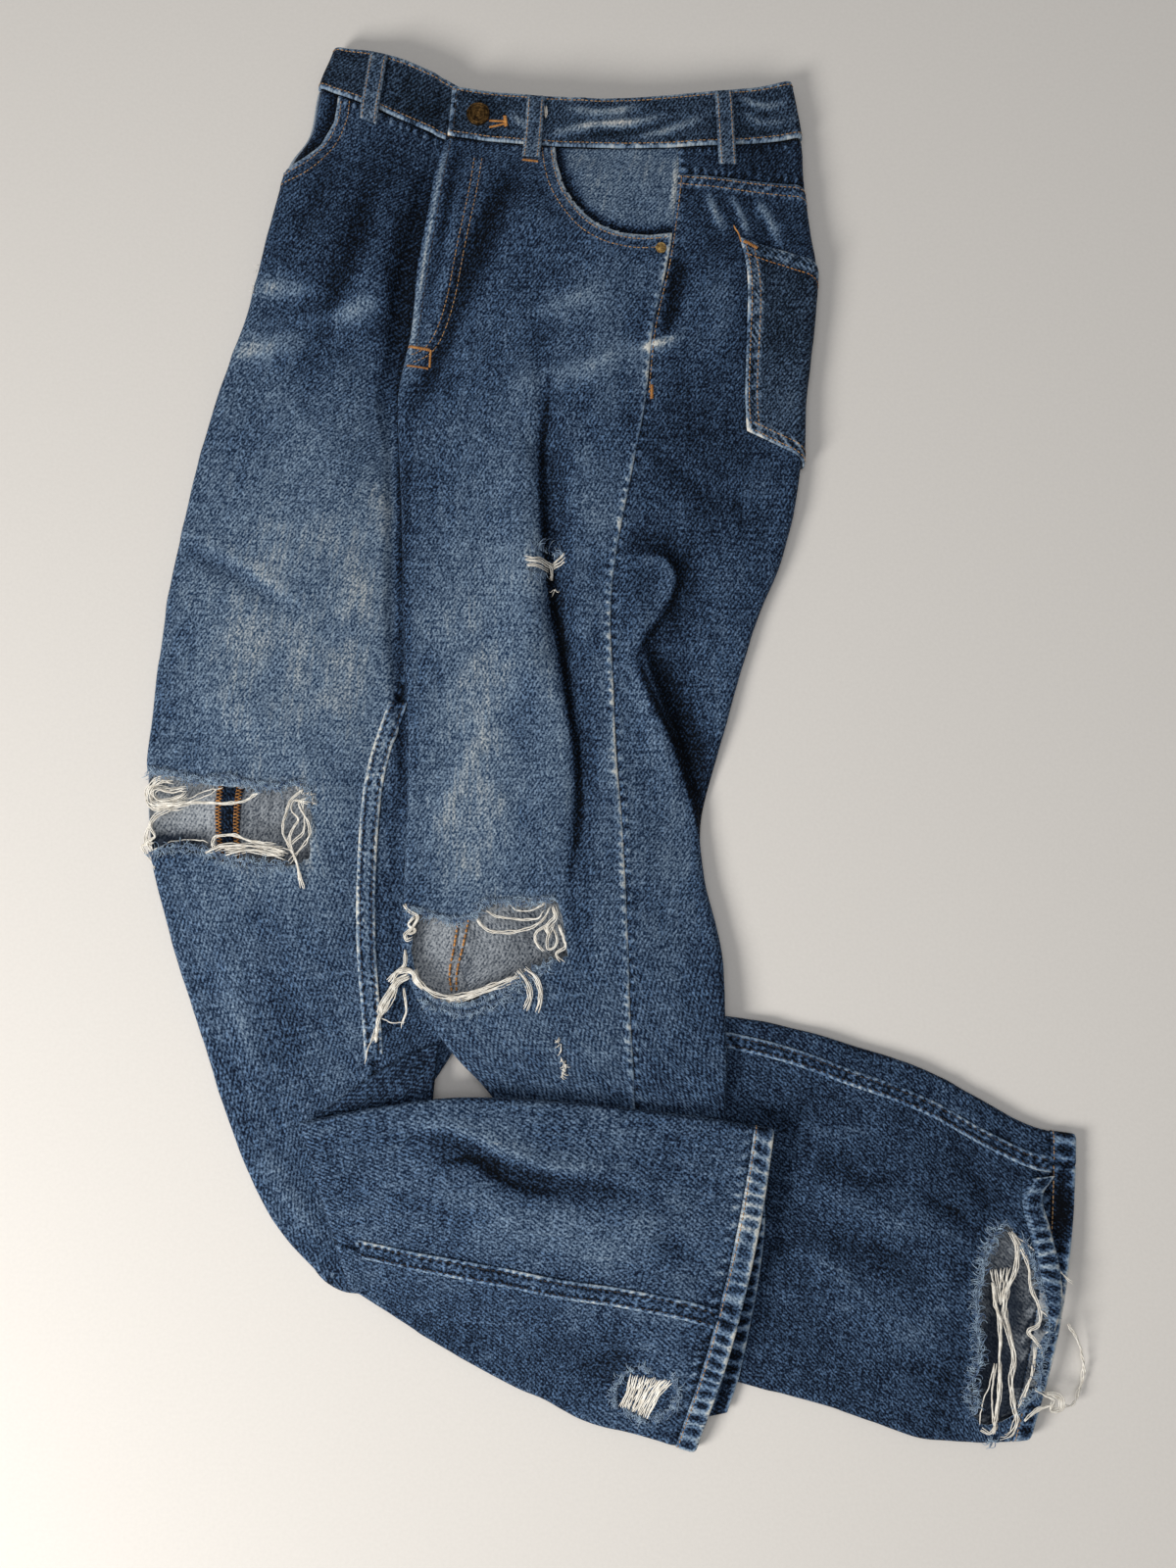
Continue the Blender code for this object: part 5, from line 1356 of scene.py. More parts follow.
LOOP_WIDTH = 12.0
LOOP_ARCH = 1.8  # a loop's middle stands this far off the band
LOOPS = {  # leg, x and row of the foot, x and row of the head
    "belt_loop_right": (RIGHT, -171, 1.35, -166, 0.03),
    "belt_loop_front": (LEFT, -54, 1.55, -51, 0.03),
    "belt_loop_side": (LEFT, 86, 1.65, 83, 0.03),
}
for name, (leg, foot_x, foot_v, head_x, head_v) in LOOPS.items():
    t, beside = np.meshgrid(np.linspace(0, 1, 25), np.linspace(-0.5, 0.5, 9), indexing="ij")
    v = foot_v + (head_v - foot_v) * t
    turn = leg.top(v, leg.reach(v, foot_x + (head_x - foot_x) * t + beside * LOOP_WIDTH))
    N = leg.normal(turn, v)
    out = DOUBLE / 2 + SEAM + FELL / 2 + LOOP_ARCH * (1 - (2 * t - 1) ** 4)
    rib = 0.3 * np.exp(-((abs(beside) - 0.38) / 0.09) ** 2) - 0.3 * (abs(beside) > 0.49)
    P = leg.point(turn, v) + N * out[..., None] + N * rib[..., None]
    grid = {"P": P, "N": N, "turn": turn, "v": v, "leg": leg, "weave": np.stack((turn, leg.along(v)), -1)}
    worn_edges = 0.1 + 0.5 * np.exp(-((abs(beside) - 0.42) / 0.07) ** 2)
    dress(name, grid, (), 0.32, thick=FELL - 0.3, flat=True, wear_base=worn_edges)

# %% [markdown]
# ## The folded calves
# Each calf is a tube of its own that lies over the leg above. The right calf rides on the layers
# folded away below it. Both end in hems that twisted as they were sewn.


# %% Calves
HEM_PITCH = 1.5 * COARSE
RIGHT_ROWS, RIGHT_HEM_ROWS = (0.02, 7.05), (7.1, 8)
LEFT_ROWS, LEFT_HEM_ROWS = (0, 7.43), (7.45, 8)
FLAP_UNDER = 4


def calf_seam(table, side):
    """Half a seam's gap to one side of a calf's inseam."""
    return lambda v: through(table, v) + side * SEAM / 2


upper = left_part(CALF_R, lambda v: RIGHT_CALF_OUTSEAM - SEAM / 2, calf_seam(RIGHT_CALF_INSEAM, -1))
lower = right_part(CALF_R, calf_seam(RIGHT_CALF_INSEAM, 1),
                   lambda v: CALF_R.width(v) - RIGHT_CALF_OUTSEAM - SEAM / 2)
strip = left_part(CALF_L, lambda v: CALF_L.width(v) - LEFT_CALF_OUTSEAM - SEAM / 2,
                  calf_seam(LEFT_CALF_INSEAM, -1))
broad = right_part(CALF_L, calf_seam(LEFT_CALF_INSEAM, 1), lambda v: LEFT_CALF_OUTSEAM - SEAM / 2)
flap = left_part(FLAP, lambda v: FLAP.width(v) - FLAP_UNDER, lambda v: FLAP.width(v) - FLAP_UNDER)


def dress_calf(name, leg, rows, part, tone, seed, holes=()):
    """One side of a calf, or of its hem, which is double cloth."""
    is_hem = name.startswith("hem")
    sides = ("plain", "butt") if part[1] == FROM_LEFT else ("butt", "plain")
    dress(name, lay(leg, *rows, *part, HEM_PITCH if is_hem else PITCH),
          (*sides, "plain", "hem" if is_hem else "hem_top"), tone,
          thick=DOUBLE if is_hem else CLOTH, seed=seed, holes=holes)


def dress_calf_seam(name, leg, rows, part, tone, seed):
    """The double-stitched inseam of a calf."""
    dress(name, lay(leg, *rows, *part), ("fell", "fell", "plain", "plain"), tone,
          thick=1.0, shift=FELL_SHIFT, seed=seed, wear_base=0.14)


TORN_HEM = ((LEFT_HEM_RIP, 0.8),)
dress_calf("back_right_calf", CALF_R, RIGHT_ROWS, upper, 0.36, 13)
dress_calf("front_right_calf", CALF_R, RIGHT_ROWS, lower, 0.38, 14)
dress_calf("hem_right_back", CALF_R, RIGHT_HEM_ROWS, upper, 0.36, 15)
dress_calf("hem_right_front", CALF_R, RIGHT_HEM_ROWS, lower, 0.42, 16)
dress_calf_seam("inseam_right_calf", CALF_R, (0.5, 7.05), fell_part(CALF_R, RIGHT_CALF_INSEAM),
                0.24, 17)
dress_calf("front_left_calf", CALF_L, LEFT_ROWS, strip, 0.25, 18)
dress_calf("back_left_calf", CALF_L, LEFT_ROWS, broad, 0.26, 19,
           TORN_HEM)
dress_calf("hem_left_front", CALF_L, LEFT_HEM_ROWS, strip, 0.2, 20)
dress_calf("hem_left_back", CALF_L, LEFT_HEM_ROWS, broad, 0.2, 21,
           TORN_HEM)
dress_calf_seam("inseam_left_calf", CALF_L, (0.3, 7.43), fell_part(CALF_L, LEFT_CALF_INSEAM, narrower=1.0),
                0.22, 22)
dress("bend_flap_right", lay(FLAP, 0.1, 3.9, *flap), ("plain",) * 4, 0.22, seed=23)

# %% The layers folded away
# One rounded slab fills the right calf, over this share of its width and these rows.
LAYERS_ACROSS = (0.3, 0.78)
LAYERS_ROWS = (1.3, 5.45)
f, v = np.meshgrid(np.linspace(*LAYERS_ACROSS, 40), np.linspace(*LAYERS_ROWS, 60), indexing="ij")
row, left, right, _, _, _ = CALF_R.section(v)
spot = left + (right - left) * f[..., None]
rim_across = np.minimum(f - LAYERS_ACROSS[0], LAYERS_ACROSS[1] - f) * 160
rim_along = np.minimum(v - LAYERS_ROWS[0], LAYERS_ROWS[1] - v) * 40
top = CALF_R.base_height(row, f) - CLOTH / 2 - 0.7 - 1.5 * smooth(1 - np.minimum(rim_across, rim_along) / 8)
middle = np.concatenate((spot, top[..., None] - 0.6), -1)
layers = {"P": middle, "N": upward(*f.shape), "turn": spot[..., 0], "v": spot[..., 1], "weave": spot}
dress("hidden_layers", layers, (), 0.3, thick=1.0, flat=True)

# %% The bend from the right leg into its calf
BEND_RIM = (
    (-194, -356), (-201.5, -371), (-195, -383), (-181, -391.5), (-164, -394.5), (-146, -405), (-134, -381),
    (-160, -356), (-194, -356),
)
BEND_MIDDLE = np.array((-171, -376))
t, r = np.meshgrid(np.linspace(0, 8, 49), np.linspace(0.02, 1, 10), indexing="ij")
spot = BEND_MIDDLE + (through(BEND_RIM, t) - BEND_MIDDLE) * r[..., None]
middle = np.concatenate((spot, (1.4 + 6.0 * np.sqrt(1 - r ** 2))[..., None]), -1)
patch("right_calf_bend", middle, 0.5, spot, 0.3 + 0 * r, 0 * r)

# %% [markdown]
# ## Thread
# Stitches, torn yarns and fuzz are all thin tubes. Thousands of them are cheap when each kind is
# one joined mesh. A stitch lies in a shallow groove and dives into the cloth at both ends. Rows are
# placed on the finished cloth, so they follow every pucker.

# %% Thread materials
# Polyester and cotton threads are spun, so they are softly matt, and dye takes unevenly along them.
def thread_material(name, dark, light, rough=0.75):
    """Dyed thread, lighter and darker along its length."""
    material, tree, principled = new_material(
        name, Roughness=rough, Specular_IOR_Level=0.3, Sheen_Weight=0.15)
    mottle(tree, principled, 260.0, dark, light, 0.3, 0.7)
    return material


TAN = thread_material("tan_thread", "#80603a", "#c99f6c")
ORANGE = thread_material("orange_thread", "#97622a", "#d99b52")
DARK = thread_material("brown_navy_thread", "#15171d", "#453a34")
CREAM = thread_material("bleached_weft_yarn", "#d6d0c4", "#fffdf5", 0.85)
BLUE_FUZZ = thread_material("torn_warp_ends", "#38547a", "#a3bacd", 0.9)
print("threads:", *(thread.name for thread in (TAN, ORANGE, DARK, CREAM, BLUE_FUZZ)))


# %% Tubes
TUBE_SIDES = 4


class Pile:
    """Collects many small tubes into one mesh."""

    def __init__(self):
        self.points, self.quads, self.count = [], [], 0

    def tube(self, centres, radii, up, flat=1.0):
        """centres is tubes x rings x 3, radii is one number for each ring, up one way for each tube."""
        run = unit(np.gradient(centres, axis=1) + 1e-9)
        side = unit(np.cross(run, up[:, None, :]) + 1e-9)[:, :, None]
        over = flat * np.cross(side[:, :, 0], run)[:, :, None]
        angles = (np.arange(TUBE_SIDES) * 2 * math.pi / TUBE_SIDES)[:, None]
        around = side * np.cos(angles) + over * np.sin(angles)
        points = centres[:, :, None] + around * np.asarray(radii)[..., None, None]
        tubes, rings = centres.shape[:2]
        spots = np.arange(tubes * rings * TUBE_SIDES).reshape(tubes, rings, TUBE_SIDES)
        base = self.count + spots
        a, d = base[:, :-1], base[:, 1:]
        b, c = np.roll(a, -1, axis=2), np.roll(d, -1, axis=2)
        self.quads += [np.stack((a, b, c, d), -1).reshape(-1, 4), base[:, 0, ::-1], base[:, -1]]
        self.points.append(points.reshape(-1, 3))
        self.count += spots.size

    def finish(self, name, material, slot):
        """Makes the mesh, and gives it its body. slot is not used."""
        thing = make_mesh(name, np.concatenate(self.points), np.concatenate(self.quads), [material])
        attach(thing, "root")
        print(f"{name}: {len(thing.data.polygons)} faces")


# %% Rows of stitches
DROP_HEIGHT = 60.0  # mm, above all the cloth
STITCH_GAP = 0.7  # mm between stitches
trees = {}


def tree_of(name):
    """A search tree of a cloth piece, in millimetres, made once."""
    if name not in trees:
        mesh = cloth_pieces[name].data
        trees[name] = BVHTree.FromPolygons(
            [tuple(v.co / MM) for v in mesh.vertices], [tuple(p.vertices) for p in mesh.polygons])
    return trees[name]


def seated(points, ways, name, reach=6.0):
    """Each point moved onto the outside of a piece, within reach, with the way out there."""
    tree = tree_of(name)
    found, out = [], []
    for point, way in zip(points, ways):
        hit, normal, _, _ = tree.ray_cast(tuple(point + reach * way), tuple(-way))
        if hit is None or (np.array(hit) - point) @ way < -4:
            continue
        found.append(hit)
        out.append(normal)
    return np.array(found), np.array(out)


def edge_row(name, side, distance, start=0.0, stop=1.0):
    """The line on a piece that lies this far from one of its sides: first, last, start or end."""
    grid = cloth_grids[name]
    beside = grid["beside"][("first", "last", "start", "end").index(side)]
    turn, v = grid["turn"], grid["v"]
    if side in ("start", "end"):
        beside, turn, v = beside.T, turn.T, v.T
    if side in ("last", "end"):
        beside, turn, v = beside[:, ::-1], turn[:, ::-1], v[:, ::-1]
    wanted = np.linspace(start, stop, len(beside)) * (len(beside) - 1)
    turns, vs = (
        np.interp(wanted, np.arange(len(beside)), [np.interp(distance, b, n) for b, n in zip(beside, rows)])
        for rows in (turn, v))
    return seated(grid["leg"].point(turns, vs), grid["leg"].normal(turns, vs), name)


def dropped(line, name):
    """Points drawn from above, dropped onto a piece, with the way out at each that meets it."""
    return seated(np.column_stack((line, np.zeros(len(line)))), upward(len(line)), name, DROP_HEIGHT)


def plan_row(points, name, aside=0.0):
    """A line drawn from above, shifted to its right side, and dropped onto a piece."""
    line = fine_line(points, 14)
    run = unit(np.gradient(line, axis=0) + 1e-9)
    return dropped(line + aside * np.stack((run[:, 1], -run[:, 0]), -1), name)


def sew(pile, row, pitch=3.1, radius=0.34, seed=0):
    """Stitches along a row, each one diving at its ends."""
    points, ways = row
    if len(points) < 2:
        return
    steps = np.linalg.norm(np.diff(points, axis=0), axis=1)
    whole = np.concatenate((np.ones(1, bool), steps < 12))
    along = np.concatenate(([0], np.cumsum(steps)))
    starts = np.arange(0, along[-1] - pitch, pitch)
    starts = starts + 0.18 * pitch * noise(starts, 0, seed)
    ends = starts + pitch - STITCH_GAP
    gone = np.interp(starts + pitch / 2, along, ~whole * 1.0) > 0
    starts, ends = starts[~gone], ends[~gone]
    if not len(starts):
        return
    t = np.array((0, 0.22, 0.78, 1))
    spots = starts[:, None] + (ends - starts)[:, None] * t
    centres = np.stack([np.interp(spots, along, points[:, k]) for k in range(3)], -1)
    up = unit(np.stack([np.interp(spots[:, 1], along, ways[:, k]) for k in range(3)], -1))
    centres = centres + up[:, None] * (radius * np.array((-0.6, 0.55, 0.55, -0.6)))[:, None]
    pile.tube(centres, radius * np.array((0.5, 1.0, 1.0, 0.5)), up, flat=0.8)


def bartack(pile, start, end, name, width, radius=0.3):
    """A dense bar of thread between two points seen from above, zigzagging this wide."""
    start, end = np.array(start, float), np.array(end, float)
    length = np.linalg.norm(end - start)
    count = max(4, int(length / 0.55))
    side = np.array((-(end - start)[1], (end - start)[0])) / length * width / 2
    line = [start + (end - start) * i / count + side * (1 if i % 2 else -1) for i in range(count + 1)]
    spots, _ = dropped(line, name)
    if len(spots) < 2:
        return
    spots[:, 2] += 0.55 * radius
    middles = (spots[:-1] + spots[1:]) / 2 + (0, 0, 0.2)
    pile.tube(np.stack((spots[:-1], middles, spots[1:]), 1), radius * np.array((0.9, 1.1, 0.9)),
              upward(len(middles)), flat=0.8)


# %% Tan topstitching
tan = Pile()
for band in ("waistband_right", "waistband_left"):
    sew(tan, edge_row(band, "start", 2.4), seed=1)
    sew(tan, edge_row(band, "end", 2.6), seed=2)
for distance in (2.3, 8.6):
    sew(tan, edge_row("back_left", "start", distance), seed=3)
    sew(tan, edge_row("back_pocket_left", "first", distance, 0.02, 0.97), seed=4)
    sew(tan, edge_row("back_pocket_left", "end", distance, 0.06), seed=5)
    sew(tan, plan_row(LEFT_POCKET_MOUTH[:-1], "front_left", distance), seed=6)
    sew(tan, plan_row(RIGHT_POCKET_MOUTH[1:-1], "front_right", -distance), seed=7)
FLY_J = (
    (-89, 401), (-93.5, 372), (-101, 336), (-108, 300), (-116, 275), (-124, 262), (-133, 256), (-141, 254),
)
for aside in (0.0, 5.5):
    sew(tan, plan_row(FLY_J, "front_left", aside), seed=8)
hip_rows = np.array((1.1, 2.0, 3.0, 4.0, 5.0, 6.0))
seam_y = LEFT.point(LEFT.top(hip_rows, side_seam(0)(hip_rows)), hip_rows)[:, 1]
hip_seam = np.column_stack((through(LEFT_SIDE_SEAM_X, hip_rows), seam_y))
sew(tan, plan_row(hip_seam, "back_left", -2.2), seed=9)
for hem in ("hem_right_back", "hem_right_front", "hem_left_front", "hem_left_back"):
    sew(tan, edge_row(hem, "start", 0.9), pitch=3.4, seed=10)
for name in LOOPS:
    grid = cloth_grids[name]
    grid["beside"] = (grid["turn"] - grid["turn"][:, :1], grid["turn"][:, -1:] - grid["turn"])
    for column in (1, 7):
        middle = grid["outer"][:, column] + grid["N"][:, column] * 0.05
        sew(tan, (middle, grid["N"][:, column]), pitch=2.8, radius=0.28, seed=11)
tan.finish("tan_topstitch", TAN, "topstitch")

# %% Dark and orange stitches
dark = Pile()
for band in ("inseam_right", "inseam_right_calf", "inseam_left_calf"):
    for side in ("first", "last"):
        sew(dark, edge_row(band, side, 2.3), pitch=3.3, seed=12)
sew(dark, edge_row("waistband_left", "first", 3.0, 0.05, 0.95), seed=13)
FLY_EDGE = ((-116, 417), (-121, 388), (-127, 351), (-133, 315), (-138, 280), (-141, 256))
sew(dark, plan_row(FLY_EDGE, "front_left", -4.5), pitch=3.4, seed=14)
dark.finish("dark_topstitch", DARK, "topstitch")

orange = Pile()
BARTACKS = (  # from, to, the piece, how wide it zigzags and the thread's radius
    ((-141, 266), (-126, 263), "front_left", 2.2, 0.3),
    ((-125, 263), (-126, 251), "front_left", 1.6, 0.3),
    ((-142, 252), (-127, 250), "front_left", 1.4, 0.3),
    ((31.5, 235.5), (31.4, 225.6), "back_left", 2.4, 0.3),
    ((97, 340), (107, 336), "back_pocket_left", 2.6, 0.3),
    ((-84, 430), (-73, 429), "waistband_left", 1.6, 0.4),
    ((-84, 425), (-73, 427), "waistband_left", 1.6, 0.4),
    ((-73, 433), (-72, 425), "waistband_left", 2.6, 0.4),
)
for start, end, name, width, radius in BARTACKS:
    bartack(orange, start, end, name, width, radius)
for x, y, name in ((-176, 441, "front_right"), (-60, 399, "front_left"), (80, 408, "back_left")):
    bartack(orange, (x, y), (x + 11, y - 2), name, 2.0)
sew(orange, edge_row("back_pocket_left", "start", 13.0), seed=15)
orange.finish("orange_bartacks", ORANGE, "topstitch")

# %% [markdown]
# ## Torn yarns
# A rip across the leg cuts the blue warp yarns and spares many of the white weft yarns. The cut warp
# curls into a fringe along the edge. The weft sags across the hole, tangles into bundles and bunches
# at the sides. A bundle is several strands that wander about one path drawn from above.

# %% Yarns and fringes
def lie_of(*names):
    """The upper sides of some pieces, holes included, to look heights up in."""
    grids = [cloth_grids[name] for name in names]
    spots = np.concatenate([grid["outer"][grid["N"][..., 2] > 0.15] for grid in grids])
    tree = KDTree(len(spots))
    for i, (x, y, _) in enumerate(spots):
        tree.insert((x, y, 0), i)
    tree.balance()
    return tree, spots[:, 2]


def lies(lie, x, y):
    """The heights that such a lie has at some places."""
    tree, heights = lie
    return np.array([heights[tree.find((a, b, 0))[1]] for a, b in zip(x, y)])


def yarn(pile, path, lie, strands=3, spread=0.9, lift=(0.6, 1.2, 0.6), splay=0.0, twist=0.0,
         radius=0.42, seed=0):
    """A bundle of strands over a path of x and y. lift lists heights above the cloth along it,
    splay opens its far end, and twist is its turns in 25 mm."""
    path = np.array(path, float)
    length = np.linalg.norm(np.diff(path, axis=0), axis=1).sum()
    count = max(7, int(length / 1.3))
    k = np.arange(strands)[:, None]
    t = np.linspace(0, 1, count) * (1 - 0.06 * (1 + hashed(k, seed, 1)))
    line = through(path, np.linspace(0, len(path) - 1, count))
    flat_run = unit(np.gradient(line, axis=0) + 1e-9)
    height = lies(lie, line[:, 0], line[:, 1])
    height = np.convolve(np.pad(height, 3, "edge"), np.full(7, 1 / 7), "valid")
    evenly = np.linspace(0, 1, count)
    height = height + np.interp(evenly, np.linspace(0, 1, len(lift)), lift)
    turn = 2 * math.pi * (k / strands + twist * t * length / 25)
    place = np.cos(turn) if twist else 2 * (k + 0.5) / strands - 1
    width = spread * (1 + splay * smooth((t - 0.7) / 0.3))
    aside = width * place + 0.7 * noise(t * length / 6, k * 3.7, seed)
    aside = aside + 0.25 * noise(t * length / 2, k * 5.3, seed)
    over = 0.5 * spread * np.sin(turn) + 0.5 * noise(t * length / 7, k * 2.9, seed + 3)
    spot = t * (count - 1)
    x, y, z, along_x, along_y = (
        np.interp(spot, np.arange(count), row) for row in (line[:, 0], line[:, 1], height, *flat_run.T))
    centres = np.stack((x + aside * along_y, y - aside * along_x, np.maximum(z + over, 0.6)), -1)
    pile.tube(centres, radius * np.interp(evenly, (0, 0.08, 0.92, 1), (0.5, 1, 1, 0.4)), upward(strands))


def fringe(pile, edge, lie, degrees, length=6.0, every=0.6, curl=2.4, radius=0.36, depth=2.0, seed=0):
    """Short curly yarn ends along an edge seen from above. degrees is the way they point."""
    line = fine_line(edge, 12)
    along = np.concatenate(([0], np.cumsum(np.linalg.norm(np.diff(line, axis=0), axis=1))))
    count = int(along[-1] / every)
    k = np.arange(count)
    spot = along[-1] * (k + hashed(k, 0, seed)) / count
    way = math.radians(degrees) + 0.7 * noise(spot / 9, 0, seed) + 0.5 * hashed(k, 1, seed)
    back = depth * (0.5 + 0.5 * hashed(k, 2, seed))
    x, y = np.interp(spot, along, line[:, 0]), np.interp(spot, along, line[:, 1])
    x, y = x - back * math.cos(math.radians(degrees)), y - back * math.sin(math.radians(degrees))
    z = lies(lie, x, y)
    share = np.linspace(0, 1, 8)
    bend = curl * hashed(k, 3, seed) + 0.8 * noise(spot / 5, 0, seed + 1)
    angle = way[:, None] + bend[:, None] * share ** 1.3 * 1.6
    step = (1.25 * length * (0.75 + 0.35 * hashed(k, 4, seed)) / 7)[:, None]
    reach_x = np.cumsum(step * np.cos(angle), axis=1)
    reach_y = np.cumsum(step * np.sin(angle), axis=1)
    hump = (0.9 + 0.8 * hashed(k, 5, seed))[:, None] * np.sin(math.pi * share) + 0.45
    centres = np.stack((x[:, None] + reach_x, y[:, None] + reach_y, z[:, None] + hump), -1)
    pile.tube(centres, radius * (1 - 0.5 * share), upward(count))


# %% The right knee
# Each entry of these tables is a path from above, its strands and their spread.
white, fuzz = Pile(), Pile()
lie = lie_of("front_right")
UPPER = (
    (-322, -34), (-305, -36), (-290, -40), (-275, -41), (-262, -40), (-250, -44), (-232, -46), (-214, -44),
)
LOWER = ((-319, -93), (-305, -90), (-290, -90), (-274, -94), (-258, -99), (-240, -102), (-222, -102))
for layer in (0, 1):
    fringe(fuzz, UPPER, lie, -85, 7.5 - layer, depth=3, seed=20 + layer)
    fringe(fuzz, LOWER, lie, -80 + 150 * layer, 6.0, depth=1.5, seed=24 + layer)
fringe(fuzz, ((-214, -44), (-207, -50), (-205, -62)), lie, -120, 5.5, seed=28)
sag = (0.8, -1.5, -2, -1, 1.0)  # heights above the cloth, from end to end
UPPER_WEFT = (
    (((-302, -43), (-312, -42), (-319, -47), (-321, -54), (-317, -60), (-304, -61), (-290, -59)), 7, 3.2),
    (((-293, -48), (-304, -50), (-314, -48), (-318, -52), (-311, -58), (-298, -55), (-289, -48)), 5, 2.4),
    (((-316, -62), (-304, -61), (-287, -58), (-265, -59), (-254, -58), (-246, -54), (-240, -51)), 3, 0.8),
    (((-314, -60), (-294, -56), (-283, -51), (-273, -49), (-263, -47)), 1, 0.1),
    (((-306, -60), (-290, -57), (-279, -54), (-269, -48)), 1, 0.1),
    (((-318, -92), (-304, -86), (-294, -84), (-282, -85), (-273, -87)), 1, 0.1),
    (((-315, -87), (-325, -88), (-322, -94), (-317, -100), (-313, -105)), 2, 0.6),
)
for path, strands, spread in UPPER_WEFT:
    yarn(white, path, lie, strands, spread, sag, seed=len(path) + strands)
LOWER_WEFT = (
    (((-303, -62), (-314, -68), (-319, -76), (-321, -84), (-315, -89)), 4, 1.6),
    (((-310, -66), (-317, -74), (-314, -82), (-320, -86), (-316, -93)), 3, 1.2),
    (((-278, -94), (-266, -90), (-253, -89), (-239, -90), (-228, -92), (-217, -95)), 6, 2.4),
    (((-264, -95), (-255, -93), (-245, -92), (-234, -94), (-222, -97)), 4, 1.6),
    (((-272, -90), (-273, -86), (-270, -82), (-259, -81), (-248, -85), (-236, -87), (-223, -88)),
     3, 0.9),
)
for path, strands, spread in LOWER_WEFT:
    yarn(white, path, lie, strands, spread, (0.8, 1.6, 1.4, 1.8), 0.4, seed=len(path) + 3 * strands)
SIDE_WEFT = (
    (((-212, -50), (-220, -57), (-223, -67), (-225, -77), (-221, -87), (-217, -96)), 3),
    (((-206, -59), (-217, -57), (-219, -64), (-214, -71), (-219, -79), (-220, -88), (-217, -97)), 3),
    (((-208, -55), (-214, -60), (-208, -71), (-206, -81), (-211, -89), (-221, -101)), 2),
    (((-212, -57), (-210, -69), (-210, -79), (-217, -85), (-222, -91)), 2),
    (((-220, -86), (-217, -94), (-214, -102), (-212, -111), (-210, -119)), 4),
)
for path, strands in SIDE_WEFT:
    yarn(white, path, lie, strands, 0.9, (1.0, 1.8, 2.2, 1.0), 0.8, seed=2 * len(path) + strands)
fringe(white, ((-215, -50), (-207, -55), (-204, -60)), lie, 55, 5.0, 0.8, 1.0, 0.3, seed=31)
print("yarn points after the right knee:", white.count, "white,", fuzz.count, "blue")

# %% The left knee
# Here an entry also has its own heights, or how far its hanging end splays.
lie = lie_of("front_left")
UPPER = (
    (-137, -130), (-127, -134), (-115, -137), (-103, -139), (-93, -136), (-86, -128), (-70, -126),
    (-50, -126), (-38, -124),
)
LOWER = (
    (-127, -191), (-116, -197), (-103, -200), (-90, -199), (-77, -193), (-64, -187), (-53, -177), (-38, -168),
)
for layer in (0, 1):
    fringe(fuzz, UPPER, lie, -85, 6.5 - layer, depth=3, seed=40 + layer)
    fringe(fuzz, LOWER, lie, -85 + 160 * layer, 6.0 - layer, depth=-2.0 + layer, seed=44 + layer)
EDGE_WEFT = (
    (((-91, -133), (-88, -141), (-81, -147), (-68, -148), (-54, -145), (-44, -139), (-38, -127)),
     3, 1.1, sag),
    (((-83, -133), (-77, -137), (-63, -139), (-50, -139), (-42, -133)), 2, 0.6, sag),
    (((-67, -129), (-61, -133), (-52, -133), (-42, -128)), 2, 0.6, sag),
    (((-133, -174), (-128, -184), (-118, -191), (-105, -193), (-92, -190), (-78, -185), (-67, -181),
      (-59, -177)), 8, 2.6, (1.2, 0.8, 0.6, 1.0, 1.4)),
    (((-150, -182), (-143, -175), (-134, -175), (-130, -182), (-125, -188)), 5, 1.8, (1.2, 2.2, 1.2)),
    (((-139, -160), (-139, -169), (-145, -176), (-148, -183)), 4, 1.0, (0.8, 1.4, 1.2)),
    (((-140, -129), (-136, -134), (-130, -137), (-133, -144), (-139, -149), (-138, -153), (-133, -151)),
     4, 1.2, (1.0, 1.6, 1.0)),
    (((-133, -137), (-137, -143), (-132, -147), (-138, -150)), 3, 1.0, (1.0, 1.6, 1.0)),
)
for path, strands, spread, lift in EDGE_WEFT:
    yarn(white, path, lie, strands, spread, lift, seed=len(path) + 5 * strands)
HANGING_ENDS = (
    (((-136, -178), (-143, -181), (-148, -188), (-154, -197), (-157, -206)), 6, 2.6, 0.0),
    (((-146, -183), (-147, -191), (-152, -200), (-157, -207)), 4, 1.6, 0.0),
    (((-155, -203), (-157, -209), (-158, -216), (-160, -224)), 7, 1.1, 1.4),
    (((-159, -214), (-162, -222), (-166, -239)), 1, 0.1, 0.0),
    (((-140, -186), (-138, -199), (-141, -214)), 2, 0.5, 1.0),
    (((-155, -206), (-147, -210), (-138, -209)), 1, 0.1, 0.0),
    (((-57, -173), (-50, -178), (-46, -187), (-46, -196), (-49, -204)), 4, 1.8, 0.3),
    (((-62, -174), (-56, -181), (-53, -189), (-54, -196), (-57, -202)), 4, 2.2, 0.5),
    (((-39, -142), (-49, -148), (-49, -155), (-43, -162)), 3, 0.9, 0.3),
    (((-36, -142), (-41, -151), (-41, -159), (-36, -158), (-35, -151), (-39, -143)), 2, 0.7, 0.0),
    (((-34, -143), (-30, -153), (-29, -158), (-35, -163), (-29, -170)), 3, 0.9, 0.6),
    (((-37, -130), (-36, -138), (-42, -145), (-38, -152)), 4, 1.3, 0.4),
)
for path, strands, spread, splay in HANGING_ENDS:
    yarn(white, path, lie, strands, spread, (1.0, 1.8, 1.6, 0.7), splay, seed=3 * len(path) + strands)
print("yarn points after the left knee:", white.count, "white,", fuzz.count, "blue")

